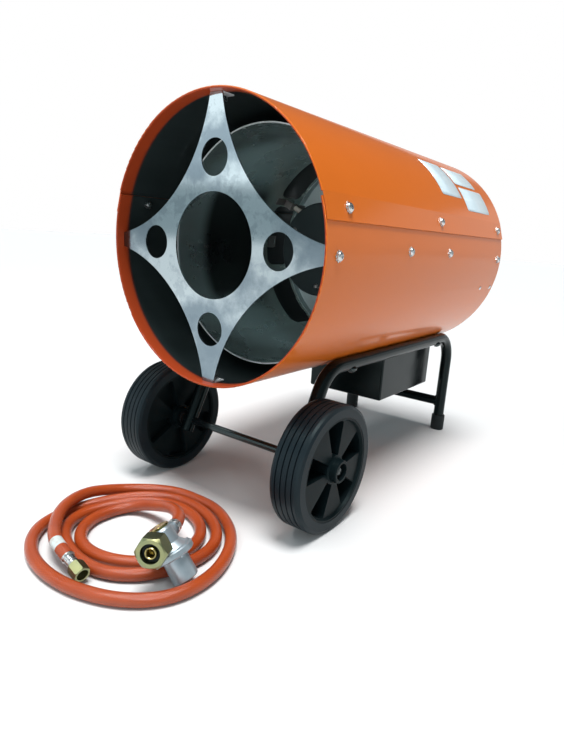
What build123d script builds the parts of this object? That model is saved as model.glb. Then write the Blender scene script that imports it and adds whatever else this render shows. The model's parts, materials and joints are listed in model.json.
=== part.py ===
"""Portable forced-air gas heater on two wheels, with its loose supply hose and regulator.

Millimetres, +Z up. X runs across the heater, Y from the hot-air outlet (-Y) to the fan (+Y).
The origin is on the floor, under the middle of the heater.
"""
from build123d import *
from math import asin, atan2, cos, degrees, radians, sin, sqrt, tan
import os

os.makedirs("parts", exist_ok=True)

# ---------------------------------------------------------------- driving dimensions
# Casing
AXIS_Z = 310.0            # height of the casing's axis
FRONT, REAR = -265.0, 265.0
SHEET = 1.2               # sheet metal thickness
SHELL_R = 154.6           # lower shell, outside
COVER_R = 156.4           # upper cover, outside
HEM = 17.0                # depth of the folded front edge
SHELL_TOP = 20.0          # the lower shell ends this many degrees above the axis
CREASE, SEAM = 21.5, 12.0  # the cover's flat bolting strip lies between these angles
STRIP_MID = (CREASE + SEAM) / 2
STRIP_R = COVER_R * cos(radians((CREASE - SEAM) / 2)) + 0.05  # the strip's face from the axis

# Screws on the casing: M5 pan heads on toothed washers
SCREW_R, HOLE_R = 2.5, 2.75
HEAD_R, HEAD_H = 4.7, 3.3
WASHER_R, WASHER_T = 6.2, 0.8
COVER_SCREW_Y = (-224.0, 6.0, 242.0)

# Outlet star
STAR_Y = -254.5
STAR_T = 1.5
STAR_TIP_W = 16.5
STAR_SIDE_REACH, STAR_TOP_REACH = 151.9, 153.6
STAR_WAIST = 82.0         # least radius, on the diagonals
STAR_BORE_R = 57.0
STAR_HOLE_R, STAR_HOLE_AT = 19.0, 91.0
STAR_TAB = 18.0
STAR_SCREW_Y = -243.5

# Combustion chamber
CHAMBER_R = 139.0
CHAMBER_FRONT, CHAMBER_REAR = -178.0, 80.0
SLOTS, SLOT_Y0, SLOT_Y1 = 8, 12.0, 62.0
SLOT_CHORD, SLOT_FILLET = 92.0, 12.0
SLOT_PHASE = 128.0        # middle of one slot, so that a bridge lies at 150.5 degrees
CONE_REAR = 100.0
THROAT_R = 40.0
BRACKET_Y = (-86.0, 36.0)
BRACKET_W = 18.0

# Burner
DISC_R, DISC_Y, DISC_T = 63.0, -46.0, 1.5
LEG_AT, LEG_R = 50.0, 2.5
BURNER_R, BURNER_FRONT = 24.0, 42.0
NOZZLE_Y = 106.0

# Fan and motor
FAN_R, FAN_Y0, FAN_Y1, BLADES = 136.0, 150.0, 178.0, 5
FAN_HUB_R = 24.0
SHAFT_R = 4.0
MOTOR_R, MOTOR_Y0, MOTOR_Y1 = 42.0, 188.0, 240.0
MOTOR_SCREW_Y = 248.0
GUARD_Y = 258.5

# Wheels and axle
AXLE_Y, WHEEL_R = -194.1, 75.0
AXLE_R = 5.0
TYRE_OUT, TYRE_IN = 145.5, 106.5      # |x| of the tyre's sides
RIM_R = 61.0
HUB_OUT, HUB_IN = 152.0, 103.0
BOSS_R, BOSS_HOLE_R = 13.4, 10.0
SPOKES, POCKET_PHASE = 5, 22.0

# Frame
TUBE_R, TUBE_WALL = 9.0, 1.5
RAIL_X = 90.4
RAIL_Z = AXIS_Z - sqrt((SHELL_R + TUBE_R + 0.05) ** 2 - RAIL_X ** 2)
LEG_SLOPE = 63.0          # of the front leg, in degrees
REAR_LEG_Y = 254.0
BEND_R = 45.0
CROSSBAR_Z, CROSSBAR_R = 52.0, 8.0
BOLT_Y = (-90.0, 190.0)

# Control box
BOX_X = 66.0
BOX_Y0, BOX_Y1, BOX_Z = 57.0, 232.0, 86.0
PANEL_T = 1.5
PANEL_FACE = BOX_Y1 + PANEL_T
IGNITER_AT, VALVE_AT = (-38.0, 133.0), (38.0, 133.0)
SWITCH_AT = (0.0, 126.0)
GLAND_AT, INLET_AT = (-38.0, 103.0), (38.0, 103.0)
IGNITER_TRAVEL, VALVE_TRAVEL = 5.0, 6.0
ROCKER_TILT, ROCKER_PIVOT = 10.0, -1.5

# Supply hose and regulator, lying in front of the heater
HOSE_R = 6.5
COIL_LOOPS = [            # where each loop reaches furthest left, back, right and front
    ((-96.0, -346.0), (-5.0, -256.5), (112.5, -377.0), (-2.0, -456.2)),
    ((-93.0, -388.0), (-10.0, -270.5), (81.3, -341.0), (10.0, -423.8)),
    ((-76.5, -371.0), (-6.0, -285.0), (62.5, -345.0), (-7.0, -408.2)),
]
COIL_END = (-60.0, -357.0)
FLOOR_LAY = HOSE_R + 0.3  # height of a strand that lies on the floor
TOP_LAY = 19.4           # height of the strand that lies across the others
CROSSING = (Vector(-53.0, -416.5, 19.6), Vector(-83.5, -387.0, 21.4))
LANDING = Vector(-83.0, -294.0, 9.7)
NUT_END = Vector(1.5, -437.4, 17.5)
NUT_DIR = Vector(0.975, -0.075, -0.225).normalized()
REG_AT = Vector(82.8, -379.9, 31.4)
REG_UP = Vector(-0.536, -0.16, 0.829).normalized()
REG_INLET = Vector(0.503, -0.849, 0.161)
REG_INLET = (REG_INLET - REG_UP * REG_INLET.dot(REG_UP)).normalized()
REG_PORT_Z = 15.0         # both ports lie this far above the flange
REG_TAIL = 32.0           # the hose leaves the tail ferrule at this distance
UNION_NUT = (21.5, 39.0)  # the union nut's ends, from the regulator's axis

# ---------------------------------------------------------------- helpers
AXIS = Plane(origin=(0, 0, AXIS_Z), x_dir=(1, 0, 0), z_dir=(0, 1, 0))
REGULATOR = Plane(origin=REG_AT, x_dir=REG_INLET, z_dir=REG_UP)
MIN = (Align.CENTER, Align.CENTER, Align.MIN)


def save(name, *solids):
    """Write one sub-part; several solids in it stay separate."""
    bodies = [s for shape in solids for s in shape.solids()]
    shape = bodies[0] if len(bodies) == 1 else Compound(children=bodies)
    shape.label = name
    export_step(shape, f"parts/{name}.step")


def turned(points, where=Plane.XY):
    """Solid of revolution about Z from (radius, height) points."""
    profile = Plane.XZ * make_face(Polyline(*points, close=True))
    return where * revolve(profile, Axis.Z)


def rod(radius, start, end):
    """Round bar from one point to another."""
    start, end = Vector(start), Vector(end)
    run = end - start
    return Plane(origin=start, z_dir=run) * Cylinder(radius, run.length, align=MIN)


def slab(sketch, y0, y1):
    """Sketch drawn in the XZ plane, made solid from y0 to y1."""
    return extrude(Plane.XZ.offset(-y1) * sketch, y1 - y0)


def around(angle, y, radius):
    """Plane on a cylinder about the casing's axis: X runs along the casing, Z points out."""
    a = radians(angle)
    centre = (radius * cos(a), y, AXIS_Z + radius * sin(a))
    return Plane(origin=centre, x_dir=(0, 1, 0), z_dir=(cos(a), 0, sin(a)))


def polar(radius, angle):
    return (radius * cos(radians(angle)), radius * sin(radians(angle)))


def mirrored(angle):
    return 180.0 - angle


# Places of the casing's screws: angle above the horizontal, y, seat radius
COVER_SEATS = [(a, y, STRIP_R) for y in COVER_SCREW_Y for a in (STRIP_MID, mirrored(STRIP_MID))]
STAR_SEATS = [(0, STAR_SCREW_Y, SHELL_R), (180, STAR_SCREW_Y, SHELL_R),
              (270, STAR_SCREW_Y, SHELL_R), (90, STAR_SCREW_Y, COVER_R)]
BRACKET_SEATS = [(a, y, SHELL_R) for y in BRACKET_Y for a in (2.5, mirrored(2.5), 270)]
MOTOR_SEATS = [(a, MOTOR_SCREW_Y, SHELL_R) for a in (0, 180)]
GUARD_SEATS = [(90, MOTOR_SCREW_Y, COVER_R), (270, MOTOR_SCREW_Y, SHELL_R)]
BODY_SEATS = STAR_SEATS + BRACKET_SEATS + MOTOR_SEATS + GUARD_SEATS
RIVET_SEATS = [(a, y, SHELL_R) for y in (203.0, 251.0) for a in (-17.0, 197.0)]


def screw_holes(seats):
    return [around(a, y, r - 12) * Cylinder(HOLE_R, 20, align=MIN) for a, y, r in seats]


# ---------------------------------------------------------------- casing
def wall_profile(radius):
    """Sheet wall with its front edge folded back inside."""
    mid, inner = radius - SHEET, radius - 2 * SHEET
    nose = FRONT + SHEET
    fold = [
        Line((radius, REAR), (radius, nose)),
        ThreePointArc((radius, nose), (mid, FRONT), (inner, nose)),
        Polyline((inner, nose), (inner, FRONT + HEM), (mid, FRONT + HEM), (mid, REAR),
                 (radius, REAR)),
    ]
    return Plane.XZ * make_face(fold)


def lower_shell():
    sweep_angle = 180 + 2 * SHELL_TOP
    wall = revolve(wall_profile(SHELL_R), Axis.Z, revolution_arc=sweep_angle)
    shell = AXIS * Rot(0, 0, -SHELL_TOP) * wall
    holes = screw_holes([s for s in COVER_SEATS + BODY_SEATS if s[0] != 90])
    holes += [around(270, PIPE_Y, SHELL_R - 12) * Cylinder(8, 20, align=MIN)]
    holes += [around(a, y, SHELL_R - 12) * Cylinder(3.2, 20, align=MIN) for a, y in BOLT_SEATS]
    holes += [around(a, y, r - 4) * Cylinder(1.7, 8, align=MIN) for a, y, r in RIVET_SEATS]
    return shell - holes


def bolting_strip():
    """Flat edge of the cover, right side, with its free edge over the lower shell."""
    crease, seam = Vector(*polar(COVER_R, CREASE)), Vector(*polar(COVER_R, SEAM))
    inward = (crease - seam).rotate(Axis.Z, 90).normalized() * SHEET
    inner_crease = Vector(*polar(COVER_R - SHEET, CREASE))
    outline = Polyline(crease, seam, seam + inward, inner_crease, close=True)
    return slab(Pos(0, AXIS_Z) * make_face(outline), FRONT + SHEET, REAR)


def upper_cover():
    arc = 180 - 2 * CREASE
    wall = revolve(wall_profile(COVER_R), Axis.Z, revolution_arc=arc)
    cover = AXIS * Rot(0, 0, CREASE - 180) * wall
    strip = bolting_strip()
    cover = cover + strip + mirror(strip, Plane.YZ)
    return cover - screw_holes(COVER_SEATS + [s for s in BODY_SEATS if s[0] == 90])


def pan_screw(length):
    """Pan-head screw with a cross recess; its seat is at Z = 0."""
    head = turned([(0, 0), (HEAD_R, 0), (HEAD_R, 1.4), (HEAD_R - 0.7, 2.5),
                   (HEAD_R - 2.2, HEAD_H), (0, HEAD_H)])
    recess = Pos(0, 0, HEAD_H - 1.6) * (Box(4.6, 1.1, 4, align=MIN) + Box(1.1, 4.6, 4, align=MIN))
    shank = Pos(0, 0, -length) * Cylinder(SCREW_R, length, align=MIN)
    return head - recess + shank


def toothed_washer():
    teeth = 9
    rim = []
    for k in range(2 * teeth):
        rim.append(polar(WASHER_R if k % 2 else WASHER_R - 1.3, 180 * k / teeth))
    return extrude(make_face(Polyline(*rim, close=True)) - Circle(HOLE_R), WASHER_T)


def casing_screws(seats, length=11.0):
    return [around(a, y, r + WASHER_T) * pan_screw(length) for a, y, r in seats]


def casing_washers(seats):
    return [around(a, y, r) * toothed_washer() for a, y, r in seats]


def casing_nuts(seats, drop):
    """Hex nuts inside the casing, so far below the seat radius."""
    nut = extrude(RegularPolygon(4.6, 6) - Circle(HOLE_R), 4)
    return [around(a, y, r - drop - 4) * nut for a, y, r in seats]


def shell_rivets():
    dome = turned([(0, -3), (1.6, -3), (1.6, 0), (3.2, 0), (2.6, 0.9), (1.2, 1.4), (0, 1.4)])
    return [around(a, y, r + 0.05) * dome for a, y, r in RIVET_SEATS]


# ---------------------------------------------------------------- outlet star
def star_reach(angle):
    return STAR_TOP_REACH if angle == 90 else STAR_SIDE_REACH


def outlet_star_plate():
    """Four-pointed plate; each tip has a tab bent back along the casing."""
    half = STAR_TIP_W / 2
    waist = STAR_WAIST / sqrt(2)
    outline = []
    for k in range(4):
        reach, after = star_reach(90 * k), star_reach(90 * (k + 1) % 360)
        tip = Line((reach, -half), (reach, half))
        side = ThreePointArc((reach, half), (waist, waist), (half, after))
        outline += [Rot(0, 0, 90 * k) * edge for edge in (tip, side)]
    plate = make_face(outline) - Circle(STAR_BORE_R)
    plate -= [Rot(0, 0, 90 * k) * Pos(STAR_HOLE_AT, 0) * Circle(STAR_HOLE_R) for k in range(4)]
    star = slab(Pos(0, AXIS_Z) * plate, STAR_Y, STAR_Y + STAR_T)
    for k in range(4):
        where = around(90 * k, STAR_Y, star_reach(90 * k) - STAR_T)
        tab = where * Pos(0, 0, 0) * Box(STAR_TAB, STAR_TIP_W, STAR_T,
                                         align=(Align.MIN, Align.CENTER, Align.MIN))
        star += tab
    return star - screw_holes(STAR_SEATS)


# ---------------------------------------------------------------- combustion chamber
def combustion_chamber():
    """Thin tube with a beaded front edge and a ring of air slots near its rear end."""
    r, t = CHAMBER_R, 1.0
    tube = turned([(r - t, CHAMBER_FRONT + 1), (r - t + 0.3, CHAMBER_FRONT),
                   (r + 0.6, CHAMBER_FRONT), (r + 1.2, CHAMBER_FRONT + 1),
                   (r + 0.6, CHAMBER_FRONT + 2.4), (r, CHAMBER_FRONT + 3),
                   (r, CHAMBER_REAR), (r - t, CHAMBER_REAR)], AXIS)
    slot = extrude(RectangleRounded(SLOT_Y1 - SLOT_Y0, SLOT_CHORD, SLOT_FILLET), 40)
    mid = (SLOT_Y0 + SLOT_Y1) / 2
    slots = [around(SLOT_PHASE + 360 / SLOTS * k, mid, r - 30) * slot for k in range(SLOTS)]
    return tube - slots


def chamber_cone():
    """Rear wall of the chamber: a shallow cone that closes down to the burner's throat."""
    r, t = CHAMBER_R - 1.05, 1.2
    wall = turned([(r, CHAMBER_REAR - 12), (r, CHAMBER_REAR), (THROAT_R, CONE_REAR),
                   (THROAT_R, CONE_REAR - t), (r - t, CHAMBER_REAR - t),
                   (r - t, CHAMBER_REAR - 12)], AXIS)
    return wall - [AXIS * Pos(*polar(LEG_AT, a), 60) * Cylinder(LEG_R + 0.1, 60, align=MIN)
                   for a in (90, 210, 330)]


def chamber_brackets():
    """Z-shaped strips that hold the chamber inside the casing."""
    outer, inner, t = SHELL_R - SHEET - 0.3, CHAMBER_R + 0.05, 1.5
    length = 20.0
    outline = Polyline((-6 - t, outer), (length - 6, outer), (length - 6, outer - t), (-6, outer - t),
                       (-6, inner), (-length, inner), (-length, inner + t), (-6 - t, inner + t),
                       close=True)
    strip = extrude(Plane.XZ.offset(-BRACKET_W / 2) * make_face(outline), BRACKET_W)
    brackets = [around(a, y, 0) * strip for a, y, r in BRACKET_SEATS]
    holes = screw_holes(BRACKET_SEATS)
    return [b - h for b, h in zip(brackets, holes)]


def thermostat():
    """Overheat cut-out on top of the chamber."""
    body = turned([(0, 0), (9, 0), (9, 4), (7.5, 4), (7.5, 9), (0, 9)],
                  around(90, -20, CHAMBER_R + 0.05))
    tabs = around(90, -20, CHAMBER_R + 9.05) * Pos(0, 0, 0) * (
        Pos(0, 3.5) * Box(6, 0.8, 4, align=MIN) + Pos(0, -3.5) * Box(6, 0.8, 4, align=MIN))
    return body + tabs


# ---------------------------------------------------------------- burner
def burner_disc():
    """Flame spreader: a round plate with a slightly turned rim."""
    y, t, r = DISC_Y, DISC_T, DISC_R
    plate = turned([(0, y), (r - 2, y), (r, y + 2), (r, y + 6), (r - t, y + 6), (r - t, y + 2.6),
                    (r - 2.6, y + t), (0, y + t)], AXIS)
    return plate - [AXIS * Pos(*polar(LEG_AT, a), y - 5) * Cylinder(LEG_R + 0.1, 20, align=MIN)
                    for a in (90, 210, 330)]


def disc_legs():
    """Three studs with domed heads that carry the flame spreader from the cone."""
    cone_y = CHAMBER_REAR + (CONE_REAR - CHAMBER_REAR) * (CHAMBER_R - LEG_AT) / (
        CHAMBER_R - THROAT_R)
    stud = turned([(0, DISC_Y - 2.6), (2.2, DISC_Y - 2.2), (4.2, DISC_Y - 0.05),
                   (LEG_R, DISC_Y - 0.05), (LEG_R, DISC_Y + DISC_T + 0.05),
                   (4.0, DISC_Y + DISC_T + 0.05), (4.0, cone_y - 8), (LEG_R, cone_y - 8),
                   (LEG_R, cone_y + 8), (0, cone_y + 8)])
    return [AXIS * Pos(*polar(LEG_AT, a)) * stud for a in (90, 210, 330)]


def burner_tube():
    """Mixing tube with air holes and a flange that lies on the back of the cone's throat."""
    r, t, f = BURNER_R, 1.5, BURNER_FRONT
    tube = turned([(r, f), (r, CONE_REAR + 0.1), (THROAT_R + 6, CONE_REAR + 0.1),
                   (THROAT_R + 6, CONE_REAR + 1.6), (8, CONE_REAR + 1.6),
                   (8, CONE_REAR + 0.1), (r - t, CONE_REAR + 0.1), (r - t, f)], AXIS)
    ports = [AXIS * Rot(0, 0, 30 * k) * Pos(r - 4, 0, 88) * Rot(0, 90, 0)
             * Cylinder(4, 10, align=MIN) for k in range(12)]
    holes = [AXIS * Rot(0, 0, 45 * k) * Pos(32, 0, 95) * Cylinder(4.5, 12, align=MIN)
             for k in range(8)]
    return tube - ports - holes


def burner_head():
    """Perforated cup pressed over the end of the mixing tube."""
    r, f = BURNER_R + 0.05, BURNER_FRONT
    cup = turned([(0, f - 18), (r - 4, f - 18), (r + 1.5, f - 12), (r + 1.5, f + 14), (r, f + 14),
                  (r, f - 1), (r - 5, f - 1), (r - 5, f - 16.5), (0, f - 16.5)], AXIS)
    ring = [AXIS * Rot(0, 0, 30 * k) * Pos(13, 0, f - 20) * Cylinder(2.2, 6, align=MIN)
            for k in range(12)]
    return cup - ring


def gas_nozzle():
    """Brass jet on the end of the burner pipe."""
    hexagon = AXIS * Pos(0, 0, NOZZLE_Y) * extrude(RegularPolygon(7.5, 6), 8)
    tip = turned([(0, 88), (1.2, 88), (4, 94), (4, CONE_REAR + 3), (7, CONE_REAR + 3),
                  (7, NOZZLE_Y), (0, NOZZLE_Y)], AXIS)
    bore = turned([(0, 80), (0.8, 80), (0.8, 108), (3.2, 110), (3.2, 116), (0, 116)], AXIS)
    return hexagon + tip - bore


def electrode_bracket():
    """Small stepped strip on the bridge between two slots; it carries the two probes."""
    foot, step, t = CHAMBER_R - 1.2, 14.0, 1.2
    outline = Polyline((-30, foot), (-8, foot), (-8, foot - step), (26, foot - step),
                       (26, foot - step - t), (-8 - t, foot - step - t), (-8 - t, foot - t),
                       (-30, foot - t), close=True)
    strip = extrude(Plane.XZ.offset(-5) * make_face(outline), 10)
    where = around(SLOT_PHASE + 22.5, (SLOT_Y0 + SLOT_Y1) / 2, 0)
    holes = [Pos(x, 0, foot - 20) * Cylinder(r, 20, align=MIN) for x, r in ((2, 4.1), (18, 2.1))]
    return where * (strip - holes)


def probe_place(x):
    return around(SLOT_PHASE + 22.5, (SLOT_Y0 + SLOT_Y1) / 2, 0) * Pos(x, 0, 0)


def spark_electrode():
    """Ceramic sleeve with a collar, and a wire that reaches towards the burner."""
    top = CHAMBER_R - 3
    return turned([(0, top), (3, top), (3, top - 6), (4, top - 8), (4, top - 26), (2.6, top - 40),
                   (1.1, top - 40), (1.1, top - 72), (0, top - 72)], probe_place(2))


def thermocouple():
    top = CHAMBER_R - 4
    return turned([(0, top), (2, top), (2, top - 18), (3.4, top - 20), (3.4, top - 30),
                   (2.4, top - 32), (2.4, top - 52), (1.4, top - 55), (0, top - 55)],
                  probe_place(18))


# ---------------------------------------------------------------- fan
def blade_section(radius, chord, pitch):
    """Curved strip across a blade, at one radius, seen along the blade."""
    camber, thick, half = chord * 0.09, 1.6, chord / 2
    edges = [ThreePointArc((-half, 0), (0, camber), (half, 0)),
             Line((half, 0), (half, thick)),
             ThreePointArc((half, thick), (0, camber + thick), (-half, thick)),
             Line((-half, thick), (-half, 0))]
    face = Rot(0, 0, pitch) * make_face(edges)
    return Plane(origin=(radius, 0, 0), x_dir=(0, 1, 0), z_dir=(1, 0, 0)) * face


def fan_impeller():
    """Stamped axial fan: twisted blades on a turned hub."""
    mid = (FAN_Y0 + FAN_Y1) / 2
    hub = turned([(SHAFT_R + 0.02, FAN_Y0 + 1), (8, FAN_Y0), (14, FAN_Y0 + 1), (FAN_HUB_R, FAN_Y0 + 6),
                  (FAN_HUB_R, FAN_Y1 - 4), (FAN_HUB_R - 3, FAN_Y1), (SHAFT_R + 0.02, FAN_Y1)])
    blade = loft([blade_section(FAN_HUB_R - 3, 24, 42), blade_section(75, 58, 30),
                  blade_section(FAN_R, 78, 21)])
    blades = [Rot(0, 0, 360 / BLADES * k) * Pos(0, 0, mid) * blade for k in range(BLADES)]
    return AXIS * (hub + blades)


def motor_shaft():
    shaft = turned([(0, FAN_Y0 - 4), (3, FAN_Y0 - 4), (SHAFT_R, FAN_Y0 - 3), (SHAFT_R, 226),
                    (0, 226)], AXIS)
    return shaft


def fan_motor():
    """Open-frame style motor can with end bells and cooling ribs."""
    r, y0, y1 = MOTOR_R, MOTOR_Y0, MOTOR_Y1
    can = turned([(SHAFT_R + 0.06, y0 - 4), (11, y0 - 4), (12, y0), (r - 8, y0), (r - 1, y0 + 5),
                  (r - 1, y0 + 14), (r, y0 + 15), (r, y1 - 12), (r - 1, y1 - 11), (r - 1, y1 - 5),
                  (r - 6, y1), (0, y1), (0, 228), (SHAFT_R + 0.06, 228)], AXIS)
    vents = [AXIS * Rot(0, 0, 30 * k) * Pos(r - 16, 0, y0 - 1) * Box(12, 4, 5, align=MIN)
             for k in range(12)]
    return can - vents


def motor_bracket():
    """Flat bar across the casing with bent ends, and a saddle plate for the motor."""
    reach, t = SHELL_R - SHEET - 0.6, 2.0
    outline = Rectangle(2 * reach, 22) + Rectangle(200, 34) + Circle(30)
    bar = slab(Pos(0, AXIS_Z) * outline, MOTOR_Y1 + 0.05, MOTOR_Y1 + t)
    ends = [around(a, MOTOR_Y1 + 0.05, reach - t) * Box(
        15, 22, t, align=(Align.MIN, Align.CENTER, Align.MIN)) for a in (0, 180)]
    return bar + ends - screw_holes(MOTOR_SEATS)


def motor_screws():
    screw = turned([(0, 0), (4, 0), (4, 2), (2.6, 3), (0, 3)])
    return [AXIS * Pos(*polar(22, a), MOTOR_Y1 + 2.05) * screw for a in (90, 210, 330)]


def rear_guard():
    """Wire guard over the air inlet: rings welded to crossed wires."""
    wire, cross = 1.4, 1.8
    rings = [AXIS * Pos(0, 0, GUARD_Y) * Torus(r, wire) for r in (36, 58, 80, 102, 124)]
    rings.append(AXIS * Pos(0, 0, GUARD_Y) * Torus(149, 2.0))
    wires = [Rot(0, 45 * k + 22.5, 0) * rod(cross, (-149, GUARD_Y - 2.4, 0), (149, GUARD_Y - 2.4, 0))
             for k in range(4)]
    wires = [Pos(0, 0, AXIS_Z) * w for w in wires]
    guard = rings[0]
    for piece in rings[1:] + wires:
        guard += piece
    return guard


def guard_clips():
    """Bent straps that hold the guard's outer ring to the casing, top and bottom."""
    clips = []
    for angle, y, seat in GUARD_SEATS:
        outer = seat - SHEET - 0.4
        outline = Polyline((-7, outer), (GUARD_Y - y + 4.4, outer), (GUARD_Y - y + 4.4, 144.5),
                           (GUARD_Y - y + 2.9, 144.5), (GUARD_Y - y + 2.9, outer - 1.5),
                           (-7, outer - 1.5), close=True)
        strip = extrude(Plane.XZ.offset(-7) * make_face(outline), 14)
        clips.append(around(angle, y, 0) * strip - screw_holes([(angle, y, seat)]))
    return clips


# ---------------------------------------------------------------- frame
BOLT_ANGLE = degrees(asin((RAIL_Z - AXIS_Z) / (SHELL_R + TUBE_R + 0.05)))
BOLT_SEATS = [(a, y) for y in BOLT_Y for a in (BOLT_ANGLE, 180 - BOLT_ANGLE)]
FRONT_KNEE_Y = AXLE_Y + (RAIL_Z - WHEEL_R) / sin(radians(LEG_SLOPE)) * cos(radians(LEG_SLOPE))


def side_tube(side):
    """Front leg, rail and rear leg, bent from one tube."""
    foot = 15.0
    slope = (cos(radians(LEG_SLOPE)), sin(radians(LEG_SLOPE)))
    start = (side * RAIL_X, AXLE_Y - foot * slope[0], WHEEL_R - foot * slope[1])
    corners = [start, (side * RAIL_X, FRONT_KNEE_Y, RAIL_Z), (side * RAIL_X, REAR_LEG_Y, RAIL_Z),
               (side * RAIL_X, REAR_LEG_Y, 5)]
    path = FilletPolyline(*corners, radius=BEND_R)
    section = Plane(origin=start, z_dir=(0, *slope)) * (Circle(TUBE_R) - Circle(TUBE_R - TUBE_WALL))
    tube = sweep(section, path=path)
    tube -= rod(AXLE_R + 0.1, (side * 70, AXLE_Y, WHEEL_R), (side * 110, AXLE_Y, WHEEL_R))
    for angle, y in BOLT_SEATS:
        if (cos(radians(angle)) > 0) == (side > 0):
            tube -= around(angle, y, SHELL_R - 2) * Cylinder(3.2, 30, align=MIN)
    return tube


def rear_crossbar():
    bar = rod(CROSSBAR_R, (-RAIL_X, REAR_LEG_Y, CROSSBAR_Z), (RAIL_X, REAR_LEG_Y, CROSSBAR_Z))
    bar -= rod(CROSSBAR_R - 1.5, (-RAIL_X, REAR_LEG_Y, CROSSBAR_Z), (RAIL_X, REAR_LEG_Y, CROSSBAR_Z))
    for side in (-1, 1):
        bar -= rod(TUBE_R + 0.02, (side * RAIL_X, REAR_LEG_Y, 20), (side * RAIL_X, REAR_LEG_Y, 90))
    return bar


def foot_cap(side):
    return turned([(0, 0), (10.4, 0), (11.4, 1), (11.4, 26), (10.6, 27), (TUBE_R + 0.02, 27),
                   (TUBE_R + 0.02, 4.9), (0, 4.9)], Plane(origin=(side * RAIL_X, REAR_LEG_Y, 0)))


def frame_bolts():
    """Round-headed bolts through the rails into the casing, with their nuts inside it."""
    start = SHELL_R + 2 * TUBE_R + 0.1
    bolt = turned([(0, start + 4), (3, start + 3.6), (6, start + 1.4), (6, start), (3, start),
                   (3, SHELL_R - 10), (0, SHELL_R - 10)])
    nut = Pos(0, 0, SHELL_R - SHEET - 5.6) * extrude(RegularPolygon(5.6, 6) - Circle(3.05), 5)
    return [around(a, y, 0) * piece for a, y in BOLT_SEATS for piece in (bolt, nut)]


# ---------------------------------------------------------------- wheels
def wheel_plane(side):
    """Plane at the wheel's centre line: X to the rear, Z out along the axle."""
    return Plane(origin=(0, AXLE_Y, WHEEL_R), x_dir=(0, 1, 0), z_dir=(side, 0, 0))


def tyre(side):
    """Solid rubber tyre with four grooves in its tread."""
    r, width = WHEEL_R, TYRE_OUT - TYRE_IN
    groove, depth = 1.6, 2.0
    points = [(RIM_R, TYRE_IN), (r - 4.5, TYRE_IN), (r - 1.2, TYRE_IN + 1.6), (r, TYRE_IN + 4.6)]
    for k in range(1, 5):
        x = TYRE_IN + 1.5 + (width - 3) * k / 5
        points += [(r, x - groove / 2), (r - depth, x - groove / 3), (r - depth, x + groove / 3),
                   (r, x + groove / 2)]
    points += [(r, TYRE_OUT - 4.6), (r - 1.2, TYRE_OUT - 1.6), (r - 4.5, TYRE_OUT),
               (RIM_R, TYRE_OUT)]
    return turned(points, wheel_plane(side))


def wheel_hub(side):
    """Moulded wheel: rim, hub tube and five wide spokes with wedge pockets between them."""
    out, rim = TYRE_OUT - 3, RIM_R - 0.05
    body = turned([(AXLE_R + 0.08, HUB_IN), (BOSS_R, HUB_IN), (BOSS_R + 1, TYRE_IN + 4),
                   (rim - 4, TYRE_IN + 4), (rim - 3, TYRE_IN + 0.5), (rim, TYRE_IN + 0.5),
                   (rim, TYRE_OUT - 0.5), (rim - 2.5, TYRE_OUT - 0.5), (rim - 4, out - 0.6),
                   (BOSS_R + 2.5, out), (BOSS_R + 0.8, out + 1.5), (BOSS_R, HUB_OUT - 1),
                   (BOSS_R - 1, HUB_OUT), (BOSS_HOLE_R, HUB_OUT), (BOSS_HOLE_R, HUB_OUT - 13),
                   (AXLE_R + 0.08, HUB_OUT - 13)])
    half_out, half_in, tip, rim_in = 16.5, 20.0, 17.0, rim - 4.5
    wedge = make_face([Line(polar(tip, -half_in), polar(rim_in, -half_out)),
                       ThreePointArc(polar(rim_in, -half_out), (rim_in, 0), polar(rim_in, half_out)),
                       Line(polar(rim_in, half_out), polar(tip, half_in)),
                       ThreePointArc(polar(tip, half_in), (tip, 0), polar(tip, -half_in))])
    wedge = fillet(wedge.vertices().sort_by(Axis.X)[-2:], 3)
    web, depth = 3.0, 20.0
    outer = extrude(Pos(0, 0, out - depth) * wedge, depth + 5)
    inner = extrude(Pos(0, 0, TYRE_IN - 2) * wedge, out - depth - web - TYRE_IN + 2)
    for k in range(SPOKES):
        turn = Rot(0, 0, POCKET_PHASE + 360 / SPOKES * k)
        body = body - turn * outer - turn * inner
    return wheel_plane(side) * body


def axle():
    end = HUB_OUT - 5
    return turned([(0, -end), (AXLE_R - 0.8, -end), (AXLE_R, 0.8 - end), (AXLE_R, end - 0.8),
                   (AXLE_R - 0.8, end), (0, end)],
                  Plane(origin=(0, AXLE_Y, WHEEL_R), x_dir=(0, 1, 0), z_dir=(1, 0, 0)))


def axle_spacers():
    inner, outer = RAIL_X + TUBE_R + 0.1, HUB_IN - 0.3
    ring = turned([(AXLE_R + 0.02, inner), (9, inner), (9, outer), (AXLE_R + 0.02, outer)])
    return [wheel_plane(side) * ring for side in (-1, 1)]


def axle_push_nuts():
    """Domed push-on caps that keep the wheels on the axle, inside the hub's recess."""
    seat, end = HUB_OUT - 12.6, HUB_OUT - 5
    cap = turned([(AXLE_R + 0.01, seat), (8.6, seat), (8.6, seat + 1.6), (6.6, seat + 2.4),
                  (6.2, end + 0.6), (3.6, end + 2.2), (0, end + 2.8), (0, end + 0.05),
                  (AXLE_R + 0.01, end + 0.05)])
    return [wheel_plane(side) * cap for side in (-1, 1)]


# ---------------------------------------------------------------- control box
CASING_BELOW = AXIS * Cylinder(SHELL_R + 0.05, 700)


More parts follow.
